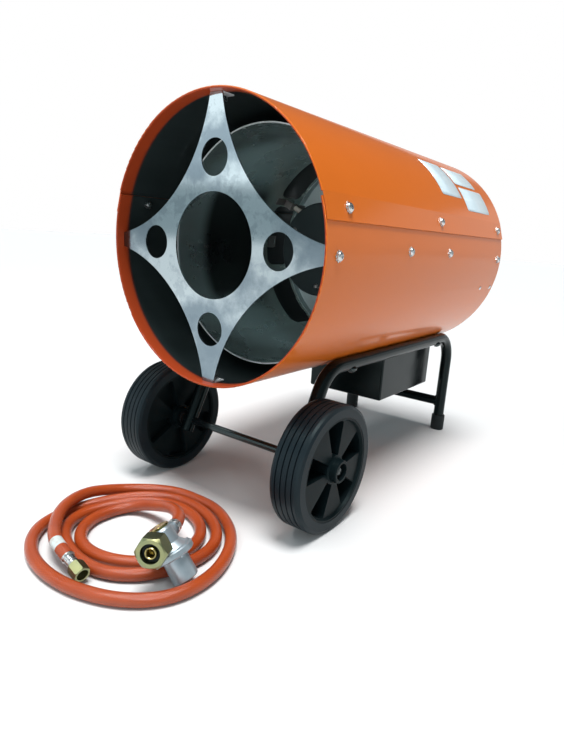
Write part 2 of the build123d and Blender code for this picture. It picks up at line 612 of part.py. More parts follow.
def control_box():
    """Folded sheet box, open to the rear and closed on top by the casing."""
    height = 90.0
    block = Pos(0, (BOX_Y0 + BOX_Y1) / 2, BOX_Z) * Box(2 * BOX_X, BOX_Y1 - BOX_Y0, height, align=MIN)
    bends = [e for e in block.edges() if abs(e.center().Z - BOX_Z) < 1 and e.center().Y < BOX_Y1 - 1]
    bends += block.edges().filter_by(Axis.Z).sort_by(Axis.Y)[:2]
    block = fillet(bends, 3)
    hollow = Pos(0, (BOX_Y0 + BOX_Y1) / 2 + SHEET, BOX_Z + SHEET) * Box(
        2 * (BOX_X - SHEET), BOX_Y1 - BOX_Y0, height, align=MIN)
    flanges = []
    for side in (-1, 1):
        flanges.append(Pos(side * (BOX_X - SHEET - 5), BOX_Y1 - SHEET / 2, BOX_Z + SHEET) * Box(
            10.2, SHEET, height - SHEET, align=MIN))
    flanges.append(Pos(0, BOX_Y1 - SHEET / 2, BOX_Z + SHEET / 2) * Box(
        2 * BOX_X - 6, SHEET, 6, align=MIN))
    box = block - hollow
    for flange in flanges:
        box += flange
    return box - CASING_BELOW - [slab(Pos(x, z) * Circle(1.8), BOX_Y1 - 5, BOX_Y1 + 2)
                                 for x, z in PANEL_SCREWS]


PANEL_SCREWS = [(-58, 94), (58, 94), (-58, 156), (58, 156)]


def rear_panel():
    """Control panel on the open end of the box."""
    outline = Pos(0, BOX_Z + 45) * RectangleRounded(2 * BOX_X, 90, 3)
    holes = [Pos(*IGNITER_AT) * Circle(8.2), Pos(*VALVE_AT) * Circle(12.2),
             Pos(*SWITCH_AT) * Rectangle(19.4, 13.4), Pos(*GLAND_AT) * Circle(6.2),
             Pos(*INLET_AT) * Circle(7.2)]
    holes += [Pos(x, z) * Circle(1.8) for x, z in PANEL_SCREWS]
    return slab(outline - holes, BOX_Y1 + 0.02, PANEL_FACE) - CASING_BELOW


def facing_rear(place):
    """Plane on the panel's face: Z points to the rear."""
    return Plane(origin=(place[0], PANEL_FACE, place[1]), x_dir=(1, 0, 0), z_dir=(0, 1, 0))


def panel_screws():
    screw = turned([(0, 0.02), (3.2, 0.02), (3.2, 1.2), (2.0, 2.1), (0, 2.1)])
    shank = Pos(0, 0, -7) * Cylinder(1.6, 7.1, align=MIN)
    slot = Pos(0, 0, 1.2) * Box(4.4, 0.8, 3, align=MIN)
    return [facing_rear(p) * (screw + shank - slot) for p in PANEL_SCREWS]


def igniter_body():
    """Spark generator behind the panel, with a ring nut on its face."""
    return turned([(4.98, 2.6), (11, 2.6), (11.4, 2.2), (11.4, 0.05), (7.9, 0.05), (7.9, -3),
                   (10, -3), (10, -34), (4, -34), (4, -40), (0, -40), (0, -26), (4.98, -26)],
                  facing_rear(IGNITER_AT))


def igniter_button():
    return turned([(0, 11), (5.2, 11), (6.8, 10), (7, 8.8), (7, 2.9 + IGNITER_TRAVEL),
                   (4.9, 2.9 + IGNITER_TRAVEL), (4.9, -18), (0, -18)], facing_rear(IGNITER_AT))


def gas_valve():
    """Brass valve block behind the panel, with the collar that guides the push button."""
    block = Pos(*facing_rear(VALVE_AT).origin) * Pos(0, -PANEL_T - 27.6, 0) * Box(26, 50, 24)
    collar = turned([(9.08, 3), (14, 3), (14.6, 2.4), (14.6, 0.05), (11.8, 0.05), (11.8, -4.2),
                     (9.08, -4.2)], facing_rear(VALVE_AT))
    well = facing_rear(VALVE_AT) * Pos(0, 0, -24) * Cylinder(9.08, 30, align=MIN)
    ports = rod(4.05, (VALVE_AT[0], 150, VALVE_AT[1]), (VALVE_AT[0], 184, VALVE_AT[1]))
    supply = rod(4.05, (VALVE_AT[0], 210, INLET_AT[1] + 8), (VALVE_AT[0], 210, INLET_AT[1] + 28))
    return block - well + collar - ports - supply


def gas_button():
    return turned([(0, 15), (7.5, 15), (9.4, 13.6), (10.2, 11.6), (10.2, 3.3 + VALVE_TRAVEL),
                   (9.0, 3.3 + VALVE_TRAVEL), (9.0, -15), (0, -15)], facing_rear(VALVE_AT))


def rocker_housing():
    """Snap-in switch housing with its bezel on the panel."""
    where = Plane(origin=(SWITCH_AT[0], PANEL_FACE, SWITCH_AT[1]), x_dir=(1, 0, 0), z_dir=(0, 1, 0))
    bezel = extrude(RectangleRounded(23, 17, 1.5), 2.0)
    body = Pos(0, 0, -18) * extrude(Rectangle(19, 13), 18.05)
    well = Pos(0, 0, -9) * extrude(Rectangle(16.4, 11), 14)
    tabs = [Pos(x, 0, -26) * Box(0.8, 4.8, 8.1, align=MIN) for x in (-5, 5)]
    sockets = Pos(0, 0, ROCKER_PIVOT) * Rot(0, 90, 0) * Cylinder(1.55, 17.8)
    return where * (Pos(0, 0, 0.02) * bezel + body - well - sockets + tabs[0] + tabs[1])


def rocker():
    """Rocker that tips about a cross pin just inside its bezel; it rests tipped one way."""
    outline = Polyline((-4.6, 0), (-4.5, 4.4), (0, 3.7), (4.5, 4.4), (4.6, 0), (0, -4), close=True)
    where = Plane(origin=(SWITCH_AT[0], PANEL_FACE + ROCKER_PIVOT, SWITCH_AT[1]),
                  x_dir=(0, 0, -1), z_dir=(1, 0, 0))
    key = extrude(Rot(0, 0, -ROCKER_TILT) * make_face(outline), 7.8, both=True)
    return where * (key + Cylinder(1.5, 17.6))


def cable_gland():
    """Nylon entry for the mains lead, with nothing fitted through it."""
    where = facing_rear(GLAND_AT)
    nut = where * Pos(0, 0, 0.05) * extrude(RegularPolygon(10, 6) - Circle(4), 6)
    dome = turned([(4, 6), (8, 6), (8, 10), (6.5, 15), (4, 15)], where)
    neck = turned([(4, -9), (6, -9), (6, 0.1), (4, 0.1)], where)
    back = where * Pos(0, 0, -PANEL_T - 5) * extrude(RegularPolygon(8.6, 6) - Circle(5.9), 4.9)
    return nut + dome + neck + back


INLET_LENGTH = 14.0
INLET_NUT = 9.0


def gas_inlet():
    """Brass inlet nipple: hexagon on the panel and a round spigot for the hose's union nut."""
    where = facing_rear(INLET_AT)
    hexagon = where * Pos(0, 0, 0.05) * extrude(RegularPolygon(9.8, 6), INLET_NUT)
    end = INLET_NUT + INLET_LENGTH
    spigot = turned([(0, INLET_NUT), (6.58, INLET_NUT), (6.58, end - 0.6), (6.0, end), (0, end)],
                    where)
    neck = turned([(0, -30), (7, -30), (7, 0.1), (0, 0.1)], where)
    bore = turned([(0, 20), (2.6, 20), (4.2, end + 1), (0, end + 1)], where)
    gallery = turned([(0, -28), (2.6, -28), (2.6, 21), (0, 21)], where)
    return hexagon + spigot + neck - bore - gallery


PIPE_Y = 128.0
PIPE_R = 4.0


def supply_pipe():
    """Short riser from the inlet nipple to the valve."""
    return rod(PIPE_R, (INLET_AT[0], 210, INLET_AT[1] + 7), (INLET_AT[0], 210, INLET_AT[1] + 20))


def burner_pipe():
    """Gas pipe from the valve, up through the casing and forward into the jet."""
    corners = [(VALVE_AT[0], 183, VALVE_AT[1]), (VALVE_AT[0], PIPE_Y, VALVE_AT[1]),
               (0, PIPE_Y, VALVE_AT[1] + 12), (0, PIPE_Y, AXIS_Z), (0, 114.1, AXIS_Z)]
    path = FilletPolyline(*corners, radius=13)
    section = Plane(origin=corners[0], z_dir=(0, -1, 0)) * (Circle(PIPE_R) - Circle(PIPE_R - 1))
    return sweep(section, path=path)


# ---------------------------------------------------------------- supply hose
def loop_nodes():
    """Route of the hose as (point, direction): one node every quarter turn, clockwise."""
    headings = [Vector(0, 1), Vector(1, 0), Vector(0, -1), Vector(-1, 0)]
    nodes = [(NUT_END, -NUT_DIR), (NUT_END - NUT_DIR * 13, -NUT_DIR),
             (CROSSING[0], Vector(-0.80, 0.60, 0.05).normalized()),
             (CROSSING[1], Vector(-0.48, 0.88, 0.0).normalized())]
    for turn, loop in enumerate(COIL_LOOPS):
        for k, ((x, y), heading) in enumerate(zip(loop, headings)):
            lay = TOP_LAY if turn == 0 and k == 0 else FLOOR_LAY
            nodes.append((Vector(x, y, lay), heading))
            if turn == 0 and k == 0:
                nodes.append((LANDING, Vector(0.50, 0.86, -0.055).normalized()))
    nodes.append((Vector(*COIL_END, FLOOR_LAY), headings[0]))
    nodes.append((Vector(-27, -316, 14.5), Vector(0.93, 0.0, 0.37).normalized()))
    end = REG_AT + REG_UP * REG_PORT_Z - REG_INLET * REG_TAIL
    nodes.append((Vector(17, -321, 31), Vector(0.87, -0.42, 0.25).normalized()))
    nodes.append((end - REG_INLET * 13, REG_INLET))
    nodes.append((end, REG_INLET))
    return nodes


def arc_towards(start, heading, end):
    """Circular arc that leaves its start along a direction and ends at a point."""
    chord = end - start
    along = chord.normalized()
    side = heading - along * heading.dot(along)
    if side.length < 1e-6:
        return Line(start, end)
    half_angle = atan2(side.length, heading.dot(along)) / 2
    bulge = side.normalized() * (chord.length / 2 * tan(half_angle))
    return ThreePointArc(start, (start + end) / 2 + bulge, end)


def biarc(start, heading, end, onward):
    """Two arcs that leave one node and enter the next along the given directions."""
    gap = end - start
    both = heading + onward
    flat = 2 * (1 - heading.dot(onward))
    reach = gap.dot(both)
    if flat < 1e-9:
        return [Line(start, end)]
    size = (sqrt(reach ** 2 + flat * gap.dot(gap)) - reach) / flat
    middle = (start + end + (heading - onward) * size) / 2
    second = arc_towards(end, -onward, middle)
    return [arc_towards(start, heading, middle), ThreePointArc(middle, second @ 0.5, end)]


def hose_route():
    nodes = loop_nodes()
    edges = []
    for (point, heading), (after, onward) in zip(nodes, nodes[1:]):
        edges += [e for arc in biarc(point, heading, after, onward) for e in arc.edges()]
    return edges


def report_hose(edges):
    """Print the hose's length, its tightest bends and its least gap to itself."""
    radii = sorted(e.radius for e in edges if e.geom_type == GeomType.CIRCLE)
    length = sum(e.length for e in edges)
    points, step, travelled = [], 3.0, 0.0
    for edge in edges:
        count = max(1, int(edge.length / step))
        points += [(travelled + edge.length * k / count, edge @ (k / count)) for k in range(count)]
        travelled += edge.length
    gap = min((p - q).length for i, (s, p) in enumerate(points)
              for t, q in points[i + 1:] if t - s > 6 * HOSE_R)
    print("hose length", round(length, 1), "least radii", [round(r, 1) for r in radii[:4]],
          "least gap", round(gap - 2 * HOSE_R, 2))


def hose_coil():
    edges = hose_route()
    report_hose(edges)
    section = Plane(origin=NUT_END, z_dir=-NUT_DIR) * Circle(HOSE_R)
    return sweep(section, path=Wire(edges))


def hose_ferrule():
    """Crimped collar and tail on the hose's small end."""
    return turned([(0, 0.02), (6.6, 0.02), (6.6, 1.8), (5.5, 2.8), (5.5, 8), (5.1, 8.6), (5.5, 9.2),
                   (5.5, 12), (4.2, 13.2), (4.2, 17), (5.4, 17), (5.4, 18.4), (4.0, 21), (2.4, 21),
                   (2.4, 8), (0, 8)], Plane(origin=NUT_END, z_dir=NUT_DIR))


def hose_nut():
    """Union nut that turns freely on the hose's tail."""
    where = Plane(origin=NUT_END, x_dir=NUT_DIR.cross(Vector(0, 0, 1)), z_dir=NUT_DIR)
    body = Pos(0, 0, 14) * extrude(RegularPolygon(7.3, 6, major_radius=False), 14)
    bore = turned([(0, 10), (4.5, 10), (4.5, 16.7), (5.7, 16.7), (5.7, 40), (0, 40)])
    ends = turned([(0, 14), (7.5, 14), (8.4, 14.8), (8.4, 27.2), (7.5, 28), (0, 28)])
    return where * Rot(0, 0, 30) * ((body & ends) - bore)


def regulator_body():
    """Die-cast body: flange, cone and the two ports, with the spring bonnet below."""
    core = turned([(0, -28.5), (11.8, -28.5), (12.6, -27.7), (12.6, -4.5), (19.6, -4.5), (21, -3.2),
                   (21, 1.2), (19.8, 2.4), (17.4, 2.8), (12.2, 9), (10.8, 22.5), (8.8, 25),
                   (0, 25)])
    inlet = Plane(origin=(0, 0, REG_PORT_Z), z_dir=(1, 0, 0)) * Cylinder(7.8, 18, align=MIN)
    tail = turned([(0, 0), (7.4, 0), (7.4, 16.5), (5.6, 18), (5.6, 22), (0, 22)],
                  Plane(origin=(0, 0, REG_PORT_Z), z_dir=(-1, 0, 0)))
    lugs = [Rot(0, 0, 45 + 90 * k) * Pos(18.2, 0, -5.6) * Cylinder(2.0, 8.6, align=MIN)
            for k in range(4)]
    body = core + inlet + tail
    for lug in lugs:
        body += lug
    throat = Plane(origin=(12, 0, REG_PORT_Z), z_dir=(1, 0, 0)) * Cylinder(5.1, 8, align=MIN)
    return REGULATOR * (body - throat)


def port_plane(direction):
    where = REG_AT + REG_UP * REG_PORT_Z
    return Plane(origin=where, x_dir=REG_UP, z_dir=REG_INLET * direction)


def regulator_cap():
    return turned([(0, 25.02), (9.2, 25.02), (9.7, 25.5), (9.7, 26.9), (9.2, 27.4), (7.2, 27.4),
                   (6.8, 27.0), (0, 27.0)], REGULATOR)


def regulator_nipple():
    """Brass tail of the inlet, with the collar that the union nut pulls on."""
    return turned([(2.4, 12.02), (5.05, 12.02), (5.05, 23.5), (7.2, 23.5), (7.2, 25.4), (5.6, 28),
                   (5.6, 37.6), (5.1, 38.2), (4.4, 38.2), (3.9, 37.6), (3.9, 30), (2.4, 28.5)],
                  port_plane(1))


def regulator_seal():
    return turned([(5.65, 31.4), (8.8, 31.4), (8.8, 34.2), (5.65, 34.2)], port_plane(1))


def regulator_union_nut():
    y0, y1 = UNION_NUT
    body = Pos(0, 0, y0) * extrude(RegularPolygon(13.5, 6, major_radius=False), y1 - y0)
    ends = turned([(0, y0), (13.8, y0), (15.9, y0 + 1.4), (15.9, y1 - 2.8), (12.6, y1), (0, y1)])
    bore = turned([(0, y0 - 2), (5.35, y0 - 2), (5.35, 23.2), (7.6, 23.2), (8.6, 26), (9.2, 26),
                   (9.2, y1 + 1), (0, y1 + 1)])
    return port_plane(1) * ((body & ends) - bore)


def regulator_ferrule():
    """Crimped sleeve that joins the hose to the regulator's tail."""
    end = REG_TAIL - 0.02
    return turned([(0, 22.02), (7.6, 22.02), (7.6, 23.5), (7.1, 24.3), (7.6, 25.1), (7.6, 28.4),
                   (7.1, 29.2), (7.4, 30), (7.4, end), (0, end)], port_plane(-1))


# ---------------------------------------------------------------- build
if __name__ == "__main__":
    save("lower_shell", lower_shell())
    save("upper_cover", upper_cover())
    save("cover_screws", *casing_screws(COVER_SEATS))
    save("body_screws", *casing_screws(BODY_SEATS))
    save("toothed_washers", *casing_washers(COVER_SEATS + BODY_SEATS))
    save("inner_nuts", *casing_nuts(COVER_SEATS, 4.4), *casing_nuts(BODY_SEATS, 5.6))
    save("shell_rivets", *shell_rivets())
    save("outlet_star_plate", outlet_star_plate())
    save("combustion_chamber", combustion_chamber())
    save("chamber_cone", chamber_cone())
    save("chamber_brackets", *chamber_brackets())
    save("overheat_thermostat", thermostat())
    save("burner_disc", burner_disc())
    save("disc_legs", *disc_legs())
    save("burner_tube", burner_tube())
    save("burner_head", burner_head())
    save("gas_nozzle", gas_nozzle())
    save("electrode_bracket", electrode_bracket())
    save("spark_electrode", spark_electrode())
    save("thermocouple", thermocouple())
    save("fan_impeller", fan_impeller())
    save("motor_shaft", motor_shaft())
    save("fan_motor", fan_motor())
    save("motor_bracket", motor_bracket())
    save("motor_screws", *motor_screws())
    save("rear_guard", rear_guard())
    save("guard_clips", *guard_clips())
    for name, side in (("left", -1), ("right", 1)):
        save(f"side_tube_{name}", side_tube(side))
        save(f"foot_cap_{name}", foot_cap(side))
        save(f"wheel_hub_{name}", wheel_hub(side))
        save(f"tyre_{name}", tyre(side))
    save("rear_crossbar", rear_crossbar())
    save("frame_bolts", *frame_bolts())
    save("axle", axle())
    save("axle_spacers", *axle_spacers())
    save("axle_push_nuts", *axle_push_nuts())
    save("control_box", control_box())
    save("rear_panel", rear_panel())
    save("panel_screws", *panel_screws())
    save("igniter_body", igniter_body())
    save("igniter_button", igniter_button())
    save("gas_valve", gas_valve())
    save("gas_button", gas_button())
    save("rocker_housing", rocker_housing())
    save("rocker", rocker())
    save("cable_gland", cable_gland())
    save("gas_inlet", gas_inlet())
    save("gas_pipes", supply_pipe(), burner_pipe())
    save("hose_coil", hose_coil())
    save("hose_ferrules", hose_ferrule(), regulator_ferrule())
    save("hose_nut", hose_nut())
    save("regulator_body", regulator_body())
    save("regulator_cap", regulator_cap())
    save("regulator_nipple", regulator_nipple())
    save("regulator_seal", regulator_seal())
    save("regulator_union_nut", regulator_union_nut())
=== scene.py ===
# %% [markdown]
# # A forced air heater, dressed
# The heater's metal parts arrive as a finished model at their real size. This script
# leaves their shapes alone and gives them what a shape can't have: paint, polish, rubber
# and rust-proof plating. It adds the hose on the floor, the bare plates on the cover, two
# weld beads and the light of a plain studio. Every cell does one step and prints what it
# made.

# %% Load the heater
import json
from functools import partial
from math import atan2, cos, radians, sin, tau

import bmesh
import bpy
from mathutils import Matrix, Vector


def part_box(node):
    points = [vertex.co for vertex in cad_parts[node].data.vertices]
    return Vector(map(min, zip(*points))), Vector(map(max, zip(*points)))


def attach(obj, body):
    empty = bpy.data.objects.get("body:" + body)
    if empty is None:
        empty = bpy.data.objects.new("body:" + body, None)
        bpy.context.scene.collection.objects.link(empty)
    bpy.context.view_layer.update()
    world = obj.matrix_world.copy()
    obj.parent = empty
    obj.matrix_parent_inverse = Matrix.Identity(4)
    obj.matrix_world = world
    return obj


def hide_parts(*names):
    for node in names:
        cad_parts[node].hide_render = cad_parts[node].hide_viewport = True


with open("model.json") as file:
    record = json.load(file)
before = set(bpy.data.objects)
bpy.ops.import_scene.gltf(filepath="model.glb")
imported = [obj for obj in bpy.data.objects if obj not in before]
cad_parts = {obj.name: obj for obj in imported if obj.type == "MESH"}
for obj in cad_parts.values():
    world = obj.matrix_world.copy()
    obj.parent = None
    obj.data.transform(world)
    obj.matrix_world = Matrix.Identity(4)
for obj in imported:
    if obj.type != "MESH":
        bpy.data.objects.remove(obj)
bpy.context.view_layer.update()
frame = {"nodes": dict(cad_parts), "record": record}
NODES = frame["nodes"]
MM = 0.001

# %% [markdown]
# ## The camera
# The heater is seen from in front of its right side, a little above the casing, by a
# camera that is slightly turned. The camera's axes are built from those three angles,
# and its focal length is kept in pixels of the photograph, because that is how it can be
# measured. Blender wants it in millimetres on a sensor whose long side is 36.

# %% Camera at the photograph's angle
PHOTO_WIDTH, PHOTO_HEIGHT = 564, 750
CAMERA_AT = Vector((0.4302, -0.6915, 0.3242))
YAW, PITCH, ROLL = radians(36.61), radians(14.11), radians(3.60)
FOCAL_PX, SENSOR_MM = 547.17, 36.0


def camera_axes():
    """Right, up and view directions of the camera, after its roll."""
    look = Vector((-sin(YAW) * cos(PITCH), cos(YAW) * cos(PITCH), -sin(PITCH)))
    level = look.cross(Vector((0, 0, 1))).normalized()
    upright = level.cross(look)
    right = level * cos(ROLL) + upright * sin(ROLL)
    up = upright * cos(ROLL) - level * sin(ROLL)
    return right, up, look


def photo_camera():
    """The scene's camera, with the photograph's view."""
    data = bpy.data.cameras.new("photo_camera")
    data.sensor_width = SENSOR_MM
    data.lens = FOCAL_PX / max(PHOTO_WIDTH, PHOTO_HEIGHT) * SENSOR_MM
    data.clip_start, data.clip_end = 0.02, 50.0
    camera = bpy.data.objects.new("photo_camera", data)
    bpy.context.scene.collection.objects.link(camera)
    right, up, look = camera_axes()
    turn = Matrix((right, up, -look)).transposed().to_4x4()
    camera.matrix_world = Matrix.Translation(CAMERA_AT) @ turn
    bpy.context.scene.camera = camera
    return camera


camera = photo_camera()
print("lens", round(camera.data.lens, 2), "mm")

# %% [markdown]
# ## The gas hose
# The heater comes with its own hose: a rubber tube 13 mm thick and 1.85 m long, with a
# regulator on one end and a small union nut on the other. It lies in three loose loops
# that spiral inwards, and its small end crosses over them. A hose is best drawn as one
# smooth line with a round section, so its route comes first. For the loops it is enough
# to know how far each one reaches. Where the hose climbs over them to its fittings, the
# points of the line are listed one by one.

# %% Route of the hose, in millimetres
HOSE_R = 6.5
COIL_LOOPS = [            # where each loop reaches furthest left, back, right and front
    ((-96.0, -346.0), (-5.0, -256.5), (112.5, -377.0), (-2.0, -456.2)),
    ((-93.0, -388.0), (-10.0, -270.5), (81.3, -341.0), (10.0, -423.8)),
    ((-76.5, -371.0), (-6.0, -285.0), (62.5, -345.0), (-7.0, -408.2)),
]
COIL_END = (-60.0, -357.0)
FLOOR_GAP = 0.3
STRAIGHT_END = 13.0       # the stiff end of the hose that sits in its ferrule
NUT_END = Vector((1.5, -437.4, 17.5))
NUT_DIR = Vector((0.975, -0.075, -0.225)).normalized()
REG_AT = Vector((82.8, -379.9, 31.4))
REG_UP = Vector((-0.536, -0.16, 0.829)).normalized()
REG_INLET = Vector((0.503, -0.849, 0.161))
REG_INLET = (REG_INLET - REG_UP * REG_INLET.dot(REG_UP)).normalized()
REG_PORT_Z, REG_TAIL = 15.0, 32.0
TAIL_END = REG_AT + REG_UP * REG_PORT_Z - REG_INLET * REG_TAIL
CLIMB = [(-24.5, -434.0, 21.6), (-39.5, -427.0, 21.0), (-55.5, -416.6, 20.3),
         (-76.5, -398.6, 21.4), (-91.0, -375.0, 21.3), (-96.5, -350.0, 19.8)]
LANDING = [(-94.5, -324.0, 14.6), (-85.5, -298.5, 9.6), (-68.0, -275.5, 7.3),
           (-42.0, -260.0, 6.9), (-16.0, -256.3, 6.8)]
RISE = [(-59.4, -346.5, 6.8), (-56.3, -335.0, 7.0), (-50.0, -325.5, 8.6),
        (-40.0, -319.0, 11.8), (-24.0, -315.6, 16.4), (-4.0, -316.5, 23.0),
        (17.5, -321.5, 30.8), (38.5, -331.0, 35.5)]
print("loops", len(COIL_LOOPS), "and points by hand", len(CLIMB + LANDING + RISE))

# %% [markdown]
# ## From reaches to control points
# Each loop is four quarters of an oval, which run from one reach to the next. The points
# of a quadratic spline stand on the lines that touch the curve, not on the curve, so the
# points of a quarter lie a little outside it: the fewer they are, the further out.

# %% Control points of the hose
QUARTER_STEPS = 3


def quarter(start, end, sideways):
    """Points outside a quarter of an oval, on the lines that touch it."""
    centre = Vector((end.x, start.y)) if sideways else Vector((start.x, end.y))
    half = radians(90 / QUARTER_STEPS / 2)
    points = []
    for k in range(QUARTER_STEPS):
        angle = half * (2 * k + 1)
        reach = (start - centre) * cos(angle) + (end - centre) * sin(angle)
        spot = centre + reach / cos(half)
        points.append(spot.to_3d() + Vector((0, 0, HOSE_R + FLOOR_GAP)))
    return points


def loop_points():
    """The loops on the floor, from where the hose lands to where it rises again."""
    corners = [Vector(corner) for loop in COIL_LOOPS for corner in loop] + [Vector(COIL_END)]
    points = []
    for k, (start, end) in enumerate(zip(corners, corners[1:])):
        if k > 0:
            points += quarter(start, end, k % 2 == 0)
    return points


def hose_points():
    """The hose's control points, from the regulator's tail to the small nut."""
    points = [NUT_END, NUT_END - NUT_DIR * STRAIGHT_END]
    points += [Vector(p) for p in CLIMB + LANDING]
    points += loop_points() + [Vector(p) for p in RISE]
    points += [TAIL_END - REG_INLET * STRAIGHT_END, TAIL_END]
    return [p * MM for p in reversed(points)]


HOSE_POINTS = hose_points()
print("control points", len(HOSE_POINTS))

# %% [markdown]
# ## The hose as a smooth line
# A spline of the third order is the quadratic one that the points are made for. With its
# ends fixed it starts and stops exactly at the fittings. Drawn without thickness it gives
# the hose's own line, from which its length is measured.

# %% Smooth line of the hose
def spline_through(name, points, thickness):
    """A round curve object whose smooth line follows the control points."""
    curve = bpy.data.curves.new(name, "CURVE")
    curve.dimensions = "3D"
    curve.bevel_depth = thickness
    curve.bevel_resolution = 6
    curve.resolution_u = 8
    curve.use_fill_caps = True
    spline = curve.splines.new("NURBS")
    spline.points.add(len(points) - 1)
    for spot, point in zip(spline.points, points):
        spot.co = (*point, 1.0)
    spline.order_u = 3
    spline.use_endpoint_u = True
    drawn = bpy.data.objects.new(name, curve)
    bpy.context.scene.collection.objects.link(drawn)
    return drawn


def mesh_of(drawn):
    """The curve object as it is drawn now, as a mesh of its own."""
    bpy.context.view_layer.update()
    return bpy.data.meshes.new_from_object(
        drawn.evaluated_get(bpy.context.evaluated_depsgraph_get()))


def line_of(drawn):
    """Points along a curve object's own line, without its thickness."""
    thickness, drawn.data.bevel_depth = drawn.data.bevel_depth, 0.0
    mesh = mesh_of(drawn)
    points = [v.co.copy() for v in mesh.vertices]
    bpy.data.meshes.remove(mesh)
    drawn.data.bevel_depth = thickness
    return points


def lengths_along(points):
    """How far along the line each point is."""
    lengths = [0.0]
    for first, second in zip(points, points[1:]):
        lengths.append(lengths[-1] + (second - first).length)
    return lengths


route = spline_through("route", HOSE_POINTS, HOSE_R * MM)
hose_line = line_of(route)
HOSE_LENGTH = lengths_along(hose_line)[-1]
print("hose", round(HOSE_LENGTH, 3), "m along", len(hose_line), "points")

# %% [markdown]
# ## The hose as a mesh
# The hose's braid has to wind round it evenly, so the tube becomes a mesh, which carries
# a map: one direction runs along it and the other round it. The map of a curve counts
# its steps, which are not all equally long, so each is moved to its true place along the
# hose. The model's own coiled hose is hidden.

# %% Hose with an even map
def new_piece(name, mesh, material=None):
    """A smooth piece of the scene, which rides on the heater itself."""
    for face in mesh.polygons:
        face.use_smooth = True
    piece = bpy.data.objects.new(name, mesh)
    bpy.context.scene.collection.objects.link(piece)
    if material:
        mesh.materials.append(material)
    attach(piece, "heater")
    return piece


def even_map(mesh, points):
    """Moves the map of a tube so that it measures true length along the line."""
    lengths = lengths_along(points)
    for corner in mesh.uv_layers[0].data:
        step = round(corner.uv.x * (len(points) - 1))
        corner.uv.x = lengths[step] / lengths[-1]


hose_mesh = mesh_of(route)
bpy.data.objects.remove(route)
even_map(hose_mesh, hose_line)
hose = new_piece("gas_hose", hose_mesh)
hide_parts("hose_coil")
print("hose faces", len(hose_mesh.polygons))

# %% [markdown]
# ## Writing a finish
# A procedural finish is a small sum: how far a point is from the casing's axis, plus a
# little noise, cut off at some value. Written with nodes one by one, such a sum is hard
# to read. The class below lets it be written as a sum, and each sign adds the Math node
# that it stands for.

# %% Sums on shader sockets
class Signal:
    """A number that changes over a surface, as it comes out of a shader node."""

    def __init__(self, finish, socket):
        self.finish, self.socket = finish, socket

    def maths(self, operation, first, second=0.0):
        return self.finish.node("ShaderNodeMath", {"operation": operation},
                                {0: first, 1: second})

    def __add__(self, other):
        return self.maths("ADD", self, other)

    def __radd__(self, other):
        return self.maths("ADD", other, self)

    def __sub__(self, other):
        return self.maths("SUBTRACT", self, other)

    def __rsub__(self, other):
        return self.maths("SUBTRACT", other, self)

    def __mul__(self, other):
        return self.maths("MULTIPLY", self, other)

    def __rmul__(self, other):
        return self.maths("MULTIPLY", other, self)

    def __gt__(self, other):
        return self.maths("GREATER_THAN", self, other)

    def __lt__(self, other):
        return self.maths("LESS_THAN", self, other)

    def root(self):
        return self.maths("SQRT", self)

    def sine(self):
        return self.maths("SINE", self)

    def ramp(self, low, high):
        """0 up to low, 1 from high, and a smooth rise between them."""
        return self.finish.node(
            "ShaderNodeMapRange", {"interpolation_type": "SMOOTHSTEP"},
            {"Value": self, "From Min": low, "From Max": high})

    def band(self, start, full, fade, end):
        """1 from full to fade, and smoothly down to 0 at start and at end."""
        return self.ramp(start, full) * (1.0 - self.ramp(fade, end))


print("sums ready")

# %% [markdown]
# ## A material and its nodes
# A finish holds one material. Every node comes from one method, which takes the kind of
# node, its settings and what feeds its sockets. The others only say what is asked of it:
# noise, a colour between two colours, or a small relief. What is the same all over a
# surface is set on the shader itself.

# %% Finishes
class Finish:
    """One material, and the nodes that it is made of."""

    def __init__(self, name):
        self.material = bpy.data.materials.new(name)
        self.material.use_nodes = True
        self.tree = self.material.node_tree
        self.shader = self.tree.nodes["Principled BSDF"]
        self.place = self.node("ShaderNodeTexCoord", outlet="Object")

    def feed(self, socket, value):
        """Links a signal to a socket, or sets a plain number or colour on it."""
        if isinstance(value, Signal):
            self.tree.links.new(value.socket, socket)
        elif socket.type == "RGBA":
            socket.default_value = (*value, 1.0)
        else:
            socket.default_value = value

    def node(self, kind, settings=None, inputs=None, outlet=0):
        """A node of any kind, its settings first and then its sockets."""
        made = self.tree.nodes.new(kind)
        for name, value in (settings or {}).items():
            setattr(made, name, value)
        for name, value in (inputs or {}).items():
            self.feed(made.inputs[name], value)
        return Signal(self, made.outputs[outlet])

    def set(self, **values):
        """Sets the shader's own sockets: base_color stands for Base Color."""
        for name, value in values.items():
            socket = name.replace("_", " ").title().replace("Ior", "IOR")
            self.feed(self.shader.inputs[socket], value)
        return self

    def noise(self, scale, detail=2.0, rough=0.5, stretch=None):
        """Cloudy values from 0 to 1, finer with scale, and longer where stretch is small."""
        spot = self.place
        if stretch:
            spot = self.node("ShaderNodeVectorMath", {"operation": "MULTIPLY"},
                             {0: spot, 1: stretch})
        return self.node("ShaderNodeTexNoise", {},
                         {"Vector": spot, "Scale": scale, "Detail": detail,
                          "Roughness": rough})

    def axes(self, where=None):
        """The x, y and z of a point as three signals."""
        split = self.node("ShaderNodeSeparateXYZ", {}, {0: where or self.place})
        outputs = split.socket.node.outputs
        return [Signal(self, outputs[k]) for k in range(3)]

    def mix(self, amount, first, second):
        """A colour between two colours."""
        return self.node("ShaderNodeMix", {"data_type": "RGBA"},
                         {"Factor": amount, "A": first, "B": second}, "Result")

    def bump(self, height, strength, distance):
        """Raises the surface a little where height is large."""
        return self.set(normal=self.node(
            "ShaderNodeBump", {},
            {"Height": height, "Strength": strength, "Distance": distance}, "Normal"))


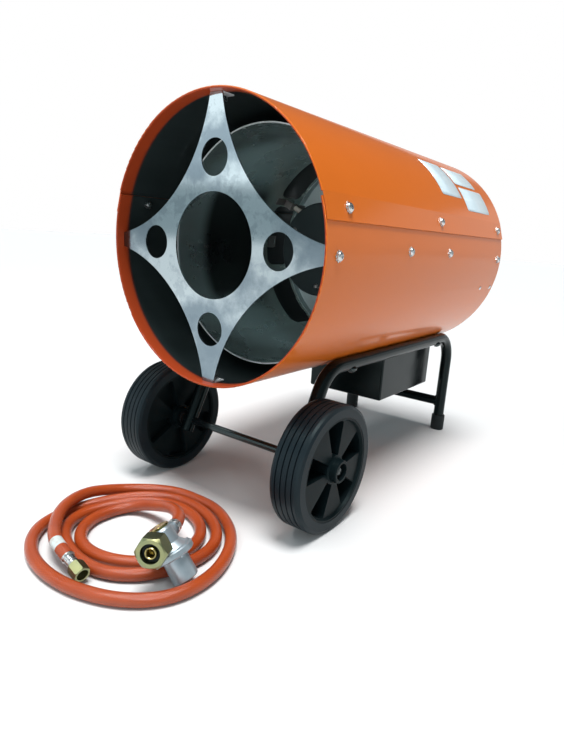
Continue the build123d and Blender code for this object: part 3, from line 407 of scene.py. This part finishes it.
def shade(colour, factor):
    """The same colour, lighter or darker."""
    return tuple(channel * factor for channel in colour)


FINISHES = {}             # for each kind of finish that a part names, what makes it


def finish_for(name):
    """Notes that the function below it makes one kind of finish."""
    def keep(make):
        FINISHES[name] = make
        return make
    return keep


print("finishes ready to be written")

# %% [markdown]
# ## Powder-coated casing
# Both shells are sprayed in a glossy orange. Such paint is a coloured base under a clear,
# smooth skin, and it dries with a faint orange-peel ripple that breaks up reflections.
# Only the outside and the folded front edge are painted: behind the fold the spray thins
# out into dull dark grey. On the fold, inside the rim, the orange is painted darker and
# redder as shade. Both sides belong to one mesh, so the finish asks how far a point is from
# the casing's axis to know which side it is on.

# %% Orange paint, dark inside
AXIS_Z = 0.310
FRONT_Y, REAR_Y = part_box("lower_shell")[0].y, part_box("lower_shell")[1].y
SHELL_INNER_R = 0.1539
COVER_INNER_R = 0.1553
FOLD_DEPTH = 0.0175
SPRAY_FADE = 0.004
ORANGE = (0.62, 0.137, 0.011)
# a darker red, painted on the fold inside the rim as shade
FOLD_RED_SHADED = (0.36, 0.050, 0.014)
LINER_GREY = (0.024, 0.034, 0.035)


def casing_paint(name, inner_radius):
    """Orange outside, redder with painted shade on the front fold, and dull dark grey behind
    it.
    """
    finish = Finish(name)
    x, y, z = finish.axes()
    height = z - AXIS_Z
    radius = (x * x + height * height).root()
    inner = radius < inner_radius
    inside = inner * (y - FRONT_Y).ramp(FOLD_DEPTH - SPRAY_FADE, FOLD_DEPTH + SPRAY_FADE)
    clouds = finish.noise(6.0, detail=3.0)
    paint = finish.mix(clouds, shade(ORANGE, 0.93), shade(ORANGE, 1.05))
    streaks = finish.noise(24.0, detail=4.0, stretch=(1.0, 0.08, 1.0))
    liner = finish.mix(streaks, LINER_GREY, shade(LINER_GREY, 1.7))
    # the fold inside the rim gets the darker red: painted shade
    colour = finish.mix(inside, finish.mix(inner, paint, FOLD_RED_SHADED), liner)
    roughness = 0.27 + clouds * 0.05 + inside * 0.16
    finish.set(base_color=colour, roughness=roughness, metallic=inside * 0.5,
               specular_ior_level=0.1, coat_weight=0.34 - inner * 0.22, coat_roughness=0.035)
    peel = finish.noise(330.0, detail=2.0)
    return finish.bump(peel, strength=0.10, distance=0.0004).material


FINISHES["orange_paint"] = partial(casing_paint, "orange_paint_shell", SHELL_INNER_R)
print("orange paint from", round(FRONT_Y, 3), "to", round(REAR_Y, 3))

# %% [markdown]
# ## Bare sheet
# Much of what shows through the outlet is bare sheet. What makes sheet look real is its
# rolling direction: very fine lines, all one way, that smear a reflection across them,
# and a cloudy film of fingerprints that is a little duller. The lines are noise that is
# stretched, and both change the roughness much more than the colour.

# %% Rolled sheet
def scratched(finish, stretch):
    """The fine lines that rolling leaves: long where stretch is small, close where large."""
    return finish.noise(90.0, detail=5.0, rough=0.7, stretch=stretch)


def rolled_sheet(name, roughness, stretch):
    """Bare sheet, with its scratches and its duller smears."""
    finish = Finish(name)
    scratches = scratched(finish, stretch)
    smears = finish.noise(11.0, detail=6.0, rough=0.65).ramp(0.40, 0.66)
    finish.set(metallic=1.0, roughness=roughness + smears * 0.12 + scratches * 0.05)
    return finish, scratches, smears


def rolled_steel(name, tint, roughness, stretch, relief, depth=0.0002):
    """Rolled sheet of one tint, a little darker where it is smeared."""
    finish, scratches, smears = rolled_sheet(name, roughness, stretch)
    finish.set(base_color=finish.mix(smears, tint, shade(tint, 0.84)))
    return finish.bump(scratches, strength=relief, distance=depth)


@finish_for("cone_steel")
def cone_steel():
    """Dull heated sheet."""
    return rolled_steel("cone_steel", (0.56, 0.67, 0.68), 0.40, (4.0, 4.0, 4.0),
                        relief=0.08).set(metallic=0.5).material


@finish_for("burner_steel")
def burner_steel():
    """Sheet that the flame has browned."""
    return rolled_steel("burner_steel", (0.30, 0.29, 0.28), 0.38, (6.0, 6.0, 6.0),
                        relief=0.10).material


@finish_for("steel_shaft")
def steel_shaft():
    """A ground shaft, with fine lines along it."""
    return rolled_steel("steel_shaft", (0.45, 0.45, 0.44), 0.22, (20.0, 2.0, 20.0),
                        relief=0.06, depth=0.0001).material


@finish_for("fan_aluminium")
def fan_aluminium():
    """Pressed sheet of the blades, paler than steel."""
    return rolled_steel("fan_aluminium", (0.60, 0.61, 0.62), 0.30, (3.0, 3.0, 3.0),
                        relief=0.08).material


print("sheet finishes", len(FINISHES) - 1)

# %% [markdown]
# ## Star plate and chamber
# The star plate is polished and mirrors the studio. Its blotches are partly smudges from
# hands and heat and partly painted reflection, and its bent-back tips are painted pale as a
# highlight. The chamber's sheet is straw-coloured round the slots, where the flame is
# hottest, painted dark on its flanks as shade, and painted near-white on its cut front edge
# as a highlight.

# %% Star plate and chamber
STAR_FRONT_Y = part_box("outlet_star_plate")[0].y
CHAMBER_FRONT_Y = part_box("combustion_chamber")[0].y
CHAMBER_GREY = (0.50, 0.62, 0.62)
# nearly black, painted on the chamber's flanks as shade
FLANK_SHADE_BLACK = (0.010, 0.012, 0.012)
CUT_EDGE_HIGHLIGHT = 0.0008                           # how deep the near-white painted highlight along the chamber's cut edge reaches
TIP_BEND = (0.0012, 0.0020)                 # where the star's tips bend back
HEAT_ALONG = (-0.06, 0.03, 0.06, 0.10)      # where the heat's bloom starts and ends, along y
FLANK_SHADE_ALONG = (-0.142, -0.118, -0.03, 0.0)   # the same for the painted shade on the flanks
FLANK_HEIGHT = (0.062, 0.098)               # how far the painted shade reaches up and down


@finish_for("star_steel")
def star_steel():
    """A mirror-bright plate with smudges and painted reflection, and bent tips painted pale as
    a highlight.
    """
    finish = Finish("star_steel")
    scratches = scratched(finish, (30.0, 30.0, 0.6))
    # the blotches, and the tarnish colour made from them, are partly smudges from hands and
    # heat and partly painted reflection
    smudge_and_reflection_blotches = finish.noise(8.0, detail=7.0, rough=0.58).ramp(0.43, 0.58)
    specks = finish.noise(46.0, detail=6.0, rough=0.7).ramp(0.50, 0.60)
    tarnish = finish.mix(smudge_and_reflection_blotches, (0.50, 0.58, 0.61), (0.22, 0.28, 0.32))
    plate = finish.mix(specks * 0.30, tarnish, (0.15, 0.20, 0.24))
    # the bent-back tips are painted pale and matt: a painted highlight
    tips_painted_lit = (finish.axes()[1] - STAR_FRONT_Y).ramp(*TIP_BEND)
    finish.set(base_color=finish.mix(tips_painted_lit, plate, (0.86, 0.90, 0.92)),
               metallic=1.0 - tips_painted_lit, roughness=0.08 + smudge_and_reflection_blotches * 0.10 + tips_painted_lit * 0.4)
    return finish.bump(scratches, strength=0.05, distance=0.0002).material


@finish_for("chamber_steel")
def chamber_steel():
    """Rolled sheet: a straw bloom round the slots, painted shade on its flanks, a painted
    highlight on its cut edge.
    """
    finish, scratches, _ = rolled_sheet("chamber_steel", 0.20, (1.0, 12.0, 1.0))
    _, y, z = finish.axes()
    heat = y.band(*HEAT_ALONG) * finish.noise(14.0, detail=3.0)
    bloom = finish.mix(heat, CHAMBER_GREY, (0.34, 0.33, 0.26))
    height = z - AXIS_Z
    flank = 1.0 - (height * height).root().ramp(*FLANK_HEIGHT)
    # the flanks at mid-height are painted nearly black: painted shade
    flank_shaded = finish.mix(flank * y.band(*FLANK_SHADE_ALONG) * 0.94, bloom, FLANK_SHADE_BLACK)
    # the cut front edge is painted near-white and less metallic: a painted highlight
    edge = y < CHAMBER_FRONT_Y + CUT_EDGE_HIGHLIGHT
    finish.set(base_color=finish.mix(edge, flank_shaded, (0.86, 0.94, 0.95)),
               metallic=0.85 - edge * 0.5)
    return finish.bump(scratches, strength=0.03, distance=0.0002).material


print("star plate from", round(STAR_FRONT_Y, 3), "chamber from", round(CHAMBER_FRONT_Y, 3))

# %% [markdown]
# ## Plated, turned and cast metal
# Small metal parts differ in their colour and in how their surface has aged. Zinc blooms
# to a dull white, yellow zinc is greenish where its film is thick, and brass and copper
# go brown in patches. A cast body is grainy, because it was sprayed. In most of them one
# noise makes the metal duller and darker together.

# %% Plated, turned and cast metal
@finish_for("zinc_hardware")
def zinc_hardware():
    """Bright zinc: blue-white, with a soft bloom in the hollows."""
    finish = Finish("zinc_hardware")
    bloom = finish.noise(260.0, detail=3.0).ramp(0.35, 0.7)
    finish.set(base_color=finish.mix(bloom, (0.66, 0.68, 0.69), (0.50, 0.51, 0.50)),
               metallic=1.0, roughness=0.20 + bloom * 0.16)
    return finish.bump(bloom, strength=0.05, distance=0.0001).material


@finish_for("guard_wire")
def guard_wire():
    """Drawn wire, plated after it is welded."""
    finish = Finish("guard_wire")
    bloom = finish.noise(140.0, detail=2.0).ramp(0.4, 0.7)
    finish.set(base_color=finish.mix(bloom, (0.58, 0.59, 0.59), (0.44, 0.45, 0.45)),
               metallic=1.0, roughness=0.24 + bloom * 0.12)
    return finish.bump(bloom, strength=0.04, distance=0.0001).material


@finish_for("yellow_zinc")
def yellow_zinc():
    """Yellow passivated zinc, greenish where the film is thick."""
    finish = Finish("yellow_zinc")
    film = finish.noise(70.0, detail=3.0).ramp(0.3, 0.7)
    wear = finish.noise(420.0, detail=2.0)
    finish.set(base_color=finish.mix(film, (0.33, 0.33, 0.16), (0.26, 0.29, 0.16)),
               metallic=1.0, roughness=0.26 + wear * 0.14)
    return finish.bump(wear, strength=0.06, distance=0.0001).material


@finish_for("brass")
def brass():
    """Turned brass that has gone brown in patches."""
    finish = Finish("brass")
    tarnish = finish.noise(60.0, detail=4.0).ramp(0.4, 0.75)
    finish.set(base_color=finish.mix(tarnish, (0.44, 0.37, 0.15), (0.27, 0.22, 0.10)),
               metallic=1.0, roughness=0.22 + tarnish * 0.2)
    turned = finish.noise(500.0, detail=1.0)
    return finish.bump(turned, strength=0.04, distance=0.0001).material


@finish_for("copper_pipe")
def copper_pipe():
    """Drawn copper with dark, dull patches."""
    finish = Finish("copper_pipe")
    tarnish = finish.noise(40.0, detail=4.0).ramp(0.35, 0.75)
    finish.set(base_color=finish.mix(tarnish, (0.72, 0.34, 0.20), (0.34, 0.15, 0.09)),
               metallic=1.0, roughness=0.22 + tarnish * 0.22)
    return finish.bump(tarnish, strength=0.03, distance=0.0001).material


@finish_for("die_cast")
def die_cast():
    """Sprayed zinc casting: blue-grey, grainy and half dull."""
    finish = Finish("die_cast")
    grain = finish.noise(900.0, detail=2.0)
    patches = finish.noise(45.0, detail=3.0).ramp(0.35, 0.7)
    finish.set(base_color=finish.mix(patches, (0.42, 0.49, 0.53), (0.33, 0.39, 0.43)),
               metallic=0.75, roughness=0.36 + patches * 0.10)
    return finish.bump(grain, strength=0.16, distance=0.0002).material


print(len(FINISHES), "finishes so far")

# %% [markdown]
# ## Dark parts
# Black isn't one finish. The frame is semi-gloss paint, the tyres are dull blue-grey
# rubber, the hubs are moulded plastic with a fine grain, and the buttons are polished.
# They are told apart almost only by how wide their highlights are, so each gets its own
# roughness, its own small relief and its own thin dust. One function makes them all, and
# a table holds what differs.

# %% Paint, rubber and plastic
COOL_SHEEN = (0.78, 1.0, 1.0)     # what black parts mirror is a little bluish


def dark_finish(name, colour, roughness, grain_scale, grain, dust, coat=0.0, gloss=0.3):
    """A dark finish with patches of dust and a fine relief."""
    finish = Finish(name)
    patches = finish.noise(18.0, detail=4.0).ramp(0.35, 0.75)
    dusty = tuple(channel + dust for channel in colour)
    finish.set(base_color=finish.mix(patches, colour, dusty),
               roughness=roughness + patches * 0.10, specular_ior_level=gloss,
               specular_tint=COOL_SHEEN, coat_weight=coat, coat_roughness=0.10)
    relief = finish.noise(grain_scale, detail=2.0)
    return finish.bump(relief, strength=grain, distance=0.0003).material


DARK_LOOKS = {
    "black_paint": dict(colour=(0.0022, 0.0045, 0.0050), roughness=0.15, grain_scale=300.0,
                        grain=0.03, dust=0.0015, gloss=0.20),
    "black_hardware": dict(colour=(0.004, 0.006, 0.007), roughness=0.13, grain_scale=500.0,
                           grain=0.04, dust=0.002, gloss=0.6),
    "motor_black": dict(colour=(0.012, 0.013, 0.014), roughness=0.40, grain_scale=260.0,
                        grain=0.15, dust=0.008),
    "disc_grey": dict(colour=(0.016, 0.023, 0.025), roughness=0.48, grain_scale=240.0,
                      grain=0.12, dust=0.008),
    "tyre_rubber": dict(colour=(0.0055, 0.0105, 0.0145), roughness=0.40, grain_scale=420.0,
                        grain=0.25, dust=0.006, gloss=0.16),
    "hub_plastic": dict(colour=(0.0040, 0.0085, 0.0100), roughness=0.34, grain_scale=700.0,
                        grain=0.12, dust=0.003, gloss=0.07),
    "black_rubber": dict(colour=(0.010, 0.010, 0.011), roughness=0.62, grain_scale=500.0,
                         grain=0.30, dust=0.008),
    "black_plastic": dict(colour=(0.011, 0.011, 0.012), roughness=0.42, grain_scale=800.0,
                          grain=0.22, dust=0.004),
    "button_plastic": dict(colour=(0.012, 0.012, 0.013), roughness=0.18, grain_scale=300.0,
                           grain=0.03, dust=0.003, coat=0.6),
}
for name, look in DARK_LOOKS.items():
    FINISHES[name] = partial(dark_finish, name, **look)
print("dark finishes", len(DARK_LOOKS))

# %% [markdown]
# ## Glazed ceramic
# Glazed ceramic insulates the spark electrode, and the thermostat's body is made of it.
# The glaze is smooth and pale, and soot from the flame browns and dulls it.

# %% Glazed ceramic
@finish_for("porcelain")
def porcelain():
    """Glazed ceramic of the electrode, and the thermostat's pale body."""
    finish = Finish("porcelain")
    soot = finish.noise(90.0, detail=4.0).ramp(0.45, 0.8)
    finish.set(base_color=finish.mix(soot, (0.70, 0.67, 0.60), (0.30, 0.26, 0.21)),
               roughness=0.18 + soot * 0.3)
    return finish.bump(soot, strength=0.05, distance=0.0002).material


print(len(FINISHES), "finishes ready")

# %% [markdown]
# ## Rubber of the hose
# The hose is orange rubber over a braided cord, and the braid shows through as fine
# crossed ridges that wind round it. They have to follow the tube, so they can't be made
# from positions in space: they use the tube's own map, whose one direction runs along it
# and whose other runs round it. Two slanted waves that cross give the diamonds.

# %% Orange hose rubber with its braid
BRAID_TURNS = 22.0
BRAID_PITCH = 0.0034


def braid_height(finish):
    """Crossed ridges along the hose: u runs along it and v round it, both from 0 to 1."""
    along, round_it, _ = finish.axes(finish.node("ShaderNodeTexCoord", outlet="UV"))
    ridges = along * (HOSE_LENGTH / BRAID_PITCH * tau)
    turns = round_it * (BRAID_TURNS * tau)
    return (ridges + turns).sine() * 0.5 + (ridges - turns).sine() * 0.5


@finish_for("hose_rubber")
def hose_rubber():
    """Orange rubber, painted darker in the grooves of its braid as shade."""
    finish = Finish("hose_rubber")
    braid = braid_height(finish)
    scuffs = finish.noise(30.0, detail=4.0).ramp(0.35, 0.75)
    rubber = finish.mix(scuffs, (0.40, 0.064, 0.011), (0.32, 0.048, 0.009))
    # the grooves of the braid get a darker red: painted shade
    finish.set(base_color=finish.mix(braid.ramp(-0.9, 0.2), (0.25, 0.033, 0.007), rubber),
               roughness=0.17 + scuffs * 0.08, specular_ior_level=0.5)
    return finish.bump(braid, strength=0.5, distance=0.0003).material


print("hose braid", BRAID_PITCH * 1000, "mm long")

# %% [markdown]
# ## Dressing the finished parts
# Each finished part names the kind of finish that it needs. A finish is made once and
# shared by all its parts, except for the cover: it is a sheet thickness wider than the
# lower shell, so its paint starts at a larger radius.

# %% Every part gets its finish
def dress_parts():
    """Gives every finished part its material, and returns the materials."""
    made = {}
    slots = {s["node"]: s["material_slot"] for s in frame["record"]["subparts"]}
    for name, part in NODES.items():
        slot = slots[name]
        if slot not in made:
            made[slot] = FINISHES[slot]()
        part.data.materials.clear()
        part.data.materials.append(made[slot])
    cover_paint = casing_paint("orange_paint_cover", COVER_INNER_R)
    NODES["upper_cover"].data.materials[0] = cover_paint
    return made


MATERIALS = dress_parts()
hose.data.materials.append(MATERIALS["hose_rubber"])
print("dressed", len(NODES), "parts in", len(MATERIALS), "finishes")

# %% [markdown]
# ## Bare plates on the cover
# Three thin plates of pale film are stuck on the cover's right shoulder, near the fan.
# They are left bare. Each starts as a flat grid whose corners are bevelled, and is cut
# into narrow strips so that it can bend smoothly. Then it is rolled round the casing's
# axis: the grid's width becomes an angle. Solidify gives the film its thickness.

# %% Film plates
COVER_R = 0.1564
FILM_LIFT, FILM_THICKNESS = 0.00012, 0.00025
PLATES = {                # start and end along y in metres, and in degrees above the seam side
    "plate_front": (0.041, 0.112, 32.0, 55.0),
    "plate_upper": (0.118, 0.206, 41.5, 54.5),
    "plate_lower": (0.121, 0.217, 25.5, 39.5),
}
FILM_CORNER = 0.003
FILM_STRIPS = 12          # flat strips that make the bend of a plate
CORNER_ZONE = 0.4         # further out than this share of a side, both ways, is a corner


def film_finish():
    """Pale film, with a faint sheen under a smooth skin."""
    finish = Finish("pale_film")
    sheen = finish.noise(35.0, detail=3.0)
    edge = finish.noise(400.0, detail=1.0)
    finish.set(base_color=finish.mix(sheen, (0.56, 0.68, 0.74), (0.64, 0.74, 0.78)),
               roughness=0.30 + edge * 0.08, coat_weight=0.35, coat_roughness=0.10)
    return finish.bump(edge, strength=0.03, distance=0.0001).material


def mesh_from(shape, name):
    """The mesh of a finished bmesh."""
    mesh = bpy.data.meshes.new(name)
    shape.to_mesh(mesh)
    shape.free()
    return mesh


def film_plate(name, y0, y1, low, high):
    """A thin sheet on the cover, between two places along it and two angles."""
    shape = bmesh.new()
    long, wide = y1 - y0, radians(high - low) * COVER_R
    bmesh.ops.create_grid(shape, x_segments=2, y_segments=2, size=0.5)    # one by one
    bmesh.ops.scale(shape, vec=(long, wide, 1), verts=shape.verts)
    corners = [v for v in shape.verts if abs(v.co.x) > long * CORNER_ZONE
               and abs(v.co.y) > wide * CORNER_ZONE]
    bmesh.ops.bevel(shape, geom=corners, offset=FILM_CORNER, offset_type="OFFSET", segments=4,
                    profile=0.5, affect="VERTICES", material=-1)
    for k in range(1, FILM_STRIPS):
        where = (0, wide * (k / FILM_STRIPS - 0.5), 0)
        bmesh.ops.bisect_plane(shape, geom=shape.verts[:] + shape.edges[:] + shape.faces[:],
                               plane_co=where, plane_no=(0, 1, 0))
    radius = COVER_R + FILM_LIFT
    for vert in shape.verts:
        angle = radians((low + high) / 2) + vert.co.y / COVER_R
        along = (y0 + y1) / 2 + vert.co.x
        vert.co = (radius * cos(angle), along, AXIS_Z + radius * sin(angle))
    bmesh.ops.recalc_face_normals(shape, faces=shape.faces)
    if sum(f.normal.x for f in shape.faces) < 0:
        bmesh.ops.reverse_faces(shape, faces=shape.faces)
    piece = new_piece(name, mesh_from(shape, name), PALE_FILM)
    thick = piece.modifiers.new("film thickness", "SOLIDIFY")
    thick.thickness, thick.offset = FILM_THICKNESS, 1.0


PALE_FILM = film_finish()
for name, (y0, y1, low, high) in PLATES.items():
    film_plate(name, y0, y1, low, high)
print("plates", len(PLATES))

# %% [markdown]
# ## Band on the hose
# A narrow white band is printed round the hose near its small end. It is a sleeve just
# wider than the hose: a short stretch of the hose's own line gets a round section, so
# the band bends exactly as the hose does.

# %% White band
BAND_FROM, BAND_LONG, BAND_R = 0.0135, 0.0135, 0.00662


def stretch_of(points, start, long):
    """The points of a line that lie on one stretch of it, measured from its end."""
    lengths = lengths_along(points)
    whole = lengths[-1]
    return [p for p, at in zip(points, lengths) if start <= whole - at <= start + long]


def band_finish():
    """Greyish white print, worn to a warmer grey."""
    finish = Finish("white_band")
    wear = finish.noise(220.0, detail=3.0).ramp(0.35, 0.8)
    finish.set(base_color=finish.mix(wear, (0.54, 0.60, 0.60), (0.42, 0.42, 0.38)),
               roughness=0.42 + wear * 0.1)
    return finish.bump(wear, strength=0.08, distance=0.0001).material


band_route = spline_through("band_route", stretch_of(hose_line, BAND_FROM, BAND_LONG), BAND_R)
band_mesh = mesh_of(band_route)
bpy.data.objects.remove(band_route)
new_piece("hose_band", band_mesh, band_finish())
print("band faces", len(band_mesh.polygons))

# %% [markdown]
# ## Weld beads
# The rear crossbar is welded between the two legs and painted with them. A bead is a
# small round section spun once round the bar. It has to follow the saddle where a bar
# meets a round leg, so every point is then pushed along the bar by what the leg's curve
# falls away there, and the bead swells and shrinks in the even ripples that a torch leaves.

# %% Beads where the crossbar meets the legs
LEG_R, BAR_R, BEAD_R = 0.009, 0.008, 0.0016
BEAD_SIDES = 10
RIPPLES, RIPPLE_STEPS, RIPPLE_DEPTH = 22, 4, 0.16
SAME_SPOT = 0.00001       # points that are closer together than this are one


def weld_bead(side):
    """The bead round one end of the crossbar, on the saddle where it meets the leg."""
    leg_low, leg_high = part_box(f"side_tube_{side}")
    leg_x = (leg_low.x + leg_high.x) / 2
    inwards = -1 if leg_x > 0 else 1
    low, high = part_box("rear_crossbar")
    centre = Vector((0, (low.y + high.y) / 2, (low.z + high.z) / 2))
    shape = bmesh.new()
    bmesh.ops.create_circle(shape, segments=BEAD_SIDES, radius=BEAD_R)
    bmesh.ops.translate(shape, vec=(0, BAR_R, 0), verts=shape.verts)
    bmesh.ops.spin(shape, geom=shape.verts[:] + shape.edges[:], cent=(0, 0, 0),
                   axis=(1, 0, 0), angle=tau, steps=RIPPLES * RIPPLE_STEPS, use_merge=True)
    bmesh.ops.remove_doubles(shape, verts=shape.verts, dist=SAME_SPOT)
    for vert in shape.verts:
        angle = atan2(vert.co.z, vert.co.y)
        spine = Vector((0, BAR_R * cos(angle), BAR_R * sin(angle)))
        ripple = 1.0 + RIPPLE_DEPTH * sin(RIPPLES * angle)
        saddle = (LEG_R ** 2 - spine.y ** 2) ** 0.5
        vert.co = spine + (vert.co - spine) * ripple + centre
        vert.co.x += leg_x + inwards * saddle
    bmesh.ops.recalc_face_normals(shape, faces=shape.faces)
    name = f"weld_{side}"
    return new_piece(name, mesh_from(shape, name), MATERIALS["black_paint"])


welds = [weld_bead(side) for side in ("left", "right")]
print("weld faces", [len(weld.data.polygons) for weld in welds])

# %% [markdown]
# ## Studio
# The photograph was cut out on white, so the floor is pale and the air looks white. But
# gloss mirrors what stands round it, and white air would wash the colour out of the paint.
# So the eye gets white, while light and reflections get grey air that is bright in front
# of the outlet and dark behind the fan, with a pale wall low down behind it. The folded
# strip along the seam mirrors that wall, which makes it stand out from the round cover.

# %% Air
AIR_IN_FRONT, AIR_BEHIND = (0.36, 0.44, 0.47), (0.08, 0.10, 0.11)
FRONT_TO_BACK = (-0.7, 0.7)
LOW_WALL = (0.72, 0.76, 0.78)
WALL_BEHIND, WALL_TOP = (-0.1, 0.4), (0.2805, 0.33)
WHITE = (1.0, 1.0, 1.0)


class Air(Finish):
    """The air round the heater, written with the same sums as a finish."""

    def __init__(self, name):
        self.world = bpy.data.worlds.new(name)
        self.world.use_nodes = True
        self.tree = self.world.node_tree
        self.shader = self.tree.nodes["Background"]
        self.place = self.node("ShaderNodeTexCoord", outlet="Generated")


def fill_air():
    """White to the eye, and grey with a pale low wall to everything else."""
    air = Air("studio_air")
    _, y, z = air.axes()
    grey = air.mix(y.ramp(*FRONT_TO_BACK), AIR_IN_FRONT, AIR_BEHIND)
    wall = y.ramp(*WALL_BEHIND) * (1.0 - z.ramp(*WALL_TOP))
    around = air.mix(wall, grey, LOW_WALL)
    seen = air.node("ShaderNodeLightPath", outlet="Is Camera Ray")
    air.set(color=air.mix(seen, around, WHITE))
    bpy.context.scene.world = air.world


fill_air()
bpy.context.scene.view_settings.view_transform = "Standard"
print("air in front", AIR_IN_FRONT, "behind", AIR_BEHIND)

# %% [markdown]
# ## Floor and lamps
# The floor is one large pale plane that isn't part of the heater. The sun's wide angle
# makes its shadows soft, and it stands a little to the right. A large lamp in front sends
# light into the outlet, so that the chamber shows behind the star plate. Another, further
# to the left, is what the star plate mirrors. A long narrow one above draws the bright
# streaks along the hose, the axle and the tyres.

# %% Floor and lamps
FLOOR_WHITE = (0.68, 0.68, 0.68)
FLOOR_REACH = 20.0
OUTLET = (0.0, -0.2, 0.31)


def floor():
    """One square under everything, which the model leaves out."""
    shape = bmesh.new()
    bmesh.ops.create_grid(shape, x_segments=1, y_segments=1, size=FLOOR_REACH)
    ground = bpy.data.objects.new("studio_floor", mesh_from(shape, "studio_floor"))
    bpy.context.scene.collection.objects.link(ground)
    matt = Finish("studio_floor").set(base_color=FLOOR_WHITE, roughness=0.7, ior=1.2)
    ground.data.materials.append(matt.material)


def lamp(name, kind, at, aim, power, **shape):
    """A lamp that stands at one place and points at another."""
    data = bpy.data.lights.new(name, kind)
    data.energy = power
    for setting, value in shape.items():
        setattr(data, setting, value)
    made = bpy.data.objects.new(name, data)
    bpy.context.scene.collection.objects.link(made)
    made.location = at
    made.rotation_euler = (Vector(aim) - Vector(at)).to_track_quat("-Z", "Y").to_euler()


floor()
lamp("sun_above", "SUN", (0.35, -0.3, 3.0), (0, 0, 0), 4.0, angle=radians(24))
lamp("lamp_outlet", "AREA", (0.5, -2.4, 0.6), OUTLET, 8.0, shape="RECTANGLE",
     size=1.2, size_y=0.9)
lamp("lamp_left", "AREA", (-1.9, -2.3, 1.1), OUTLET, 5.5, shape="RECTANGLE",
     size=1.6, size_y=1.0)
lamp("lamp_strip", "AREA", (-1.0, -0.9, 1.8), (0.0, -0.2, 0.1), 9.0, shape="RECTANGLE",
     size=1.6, size_y=0.2)
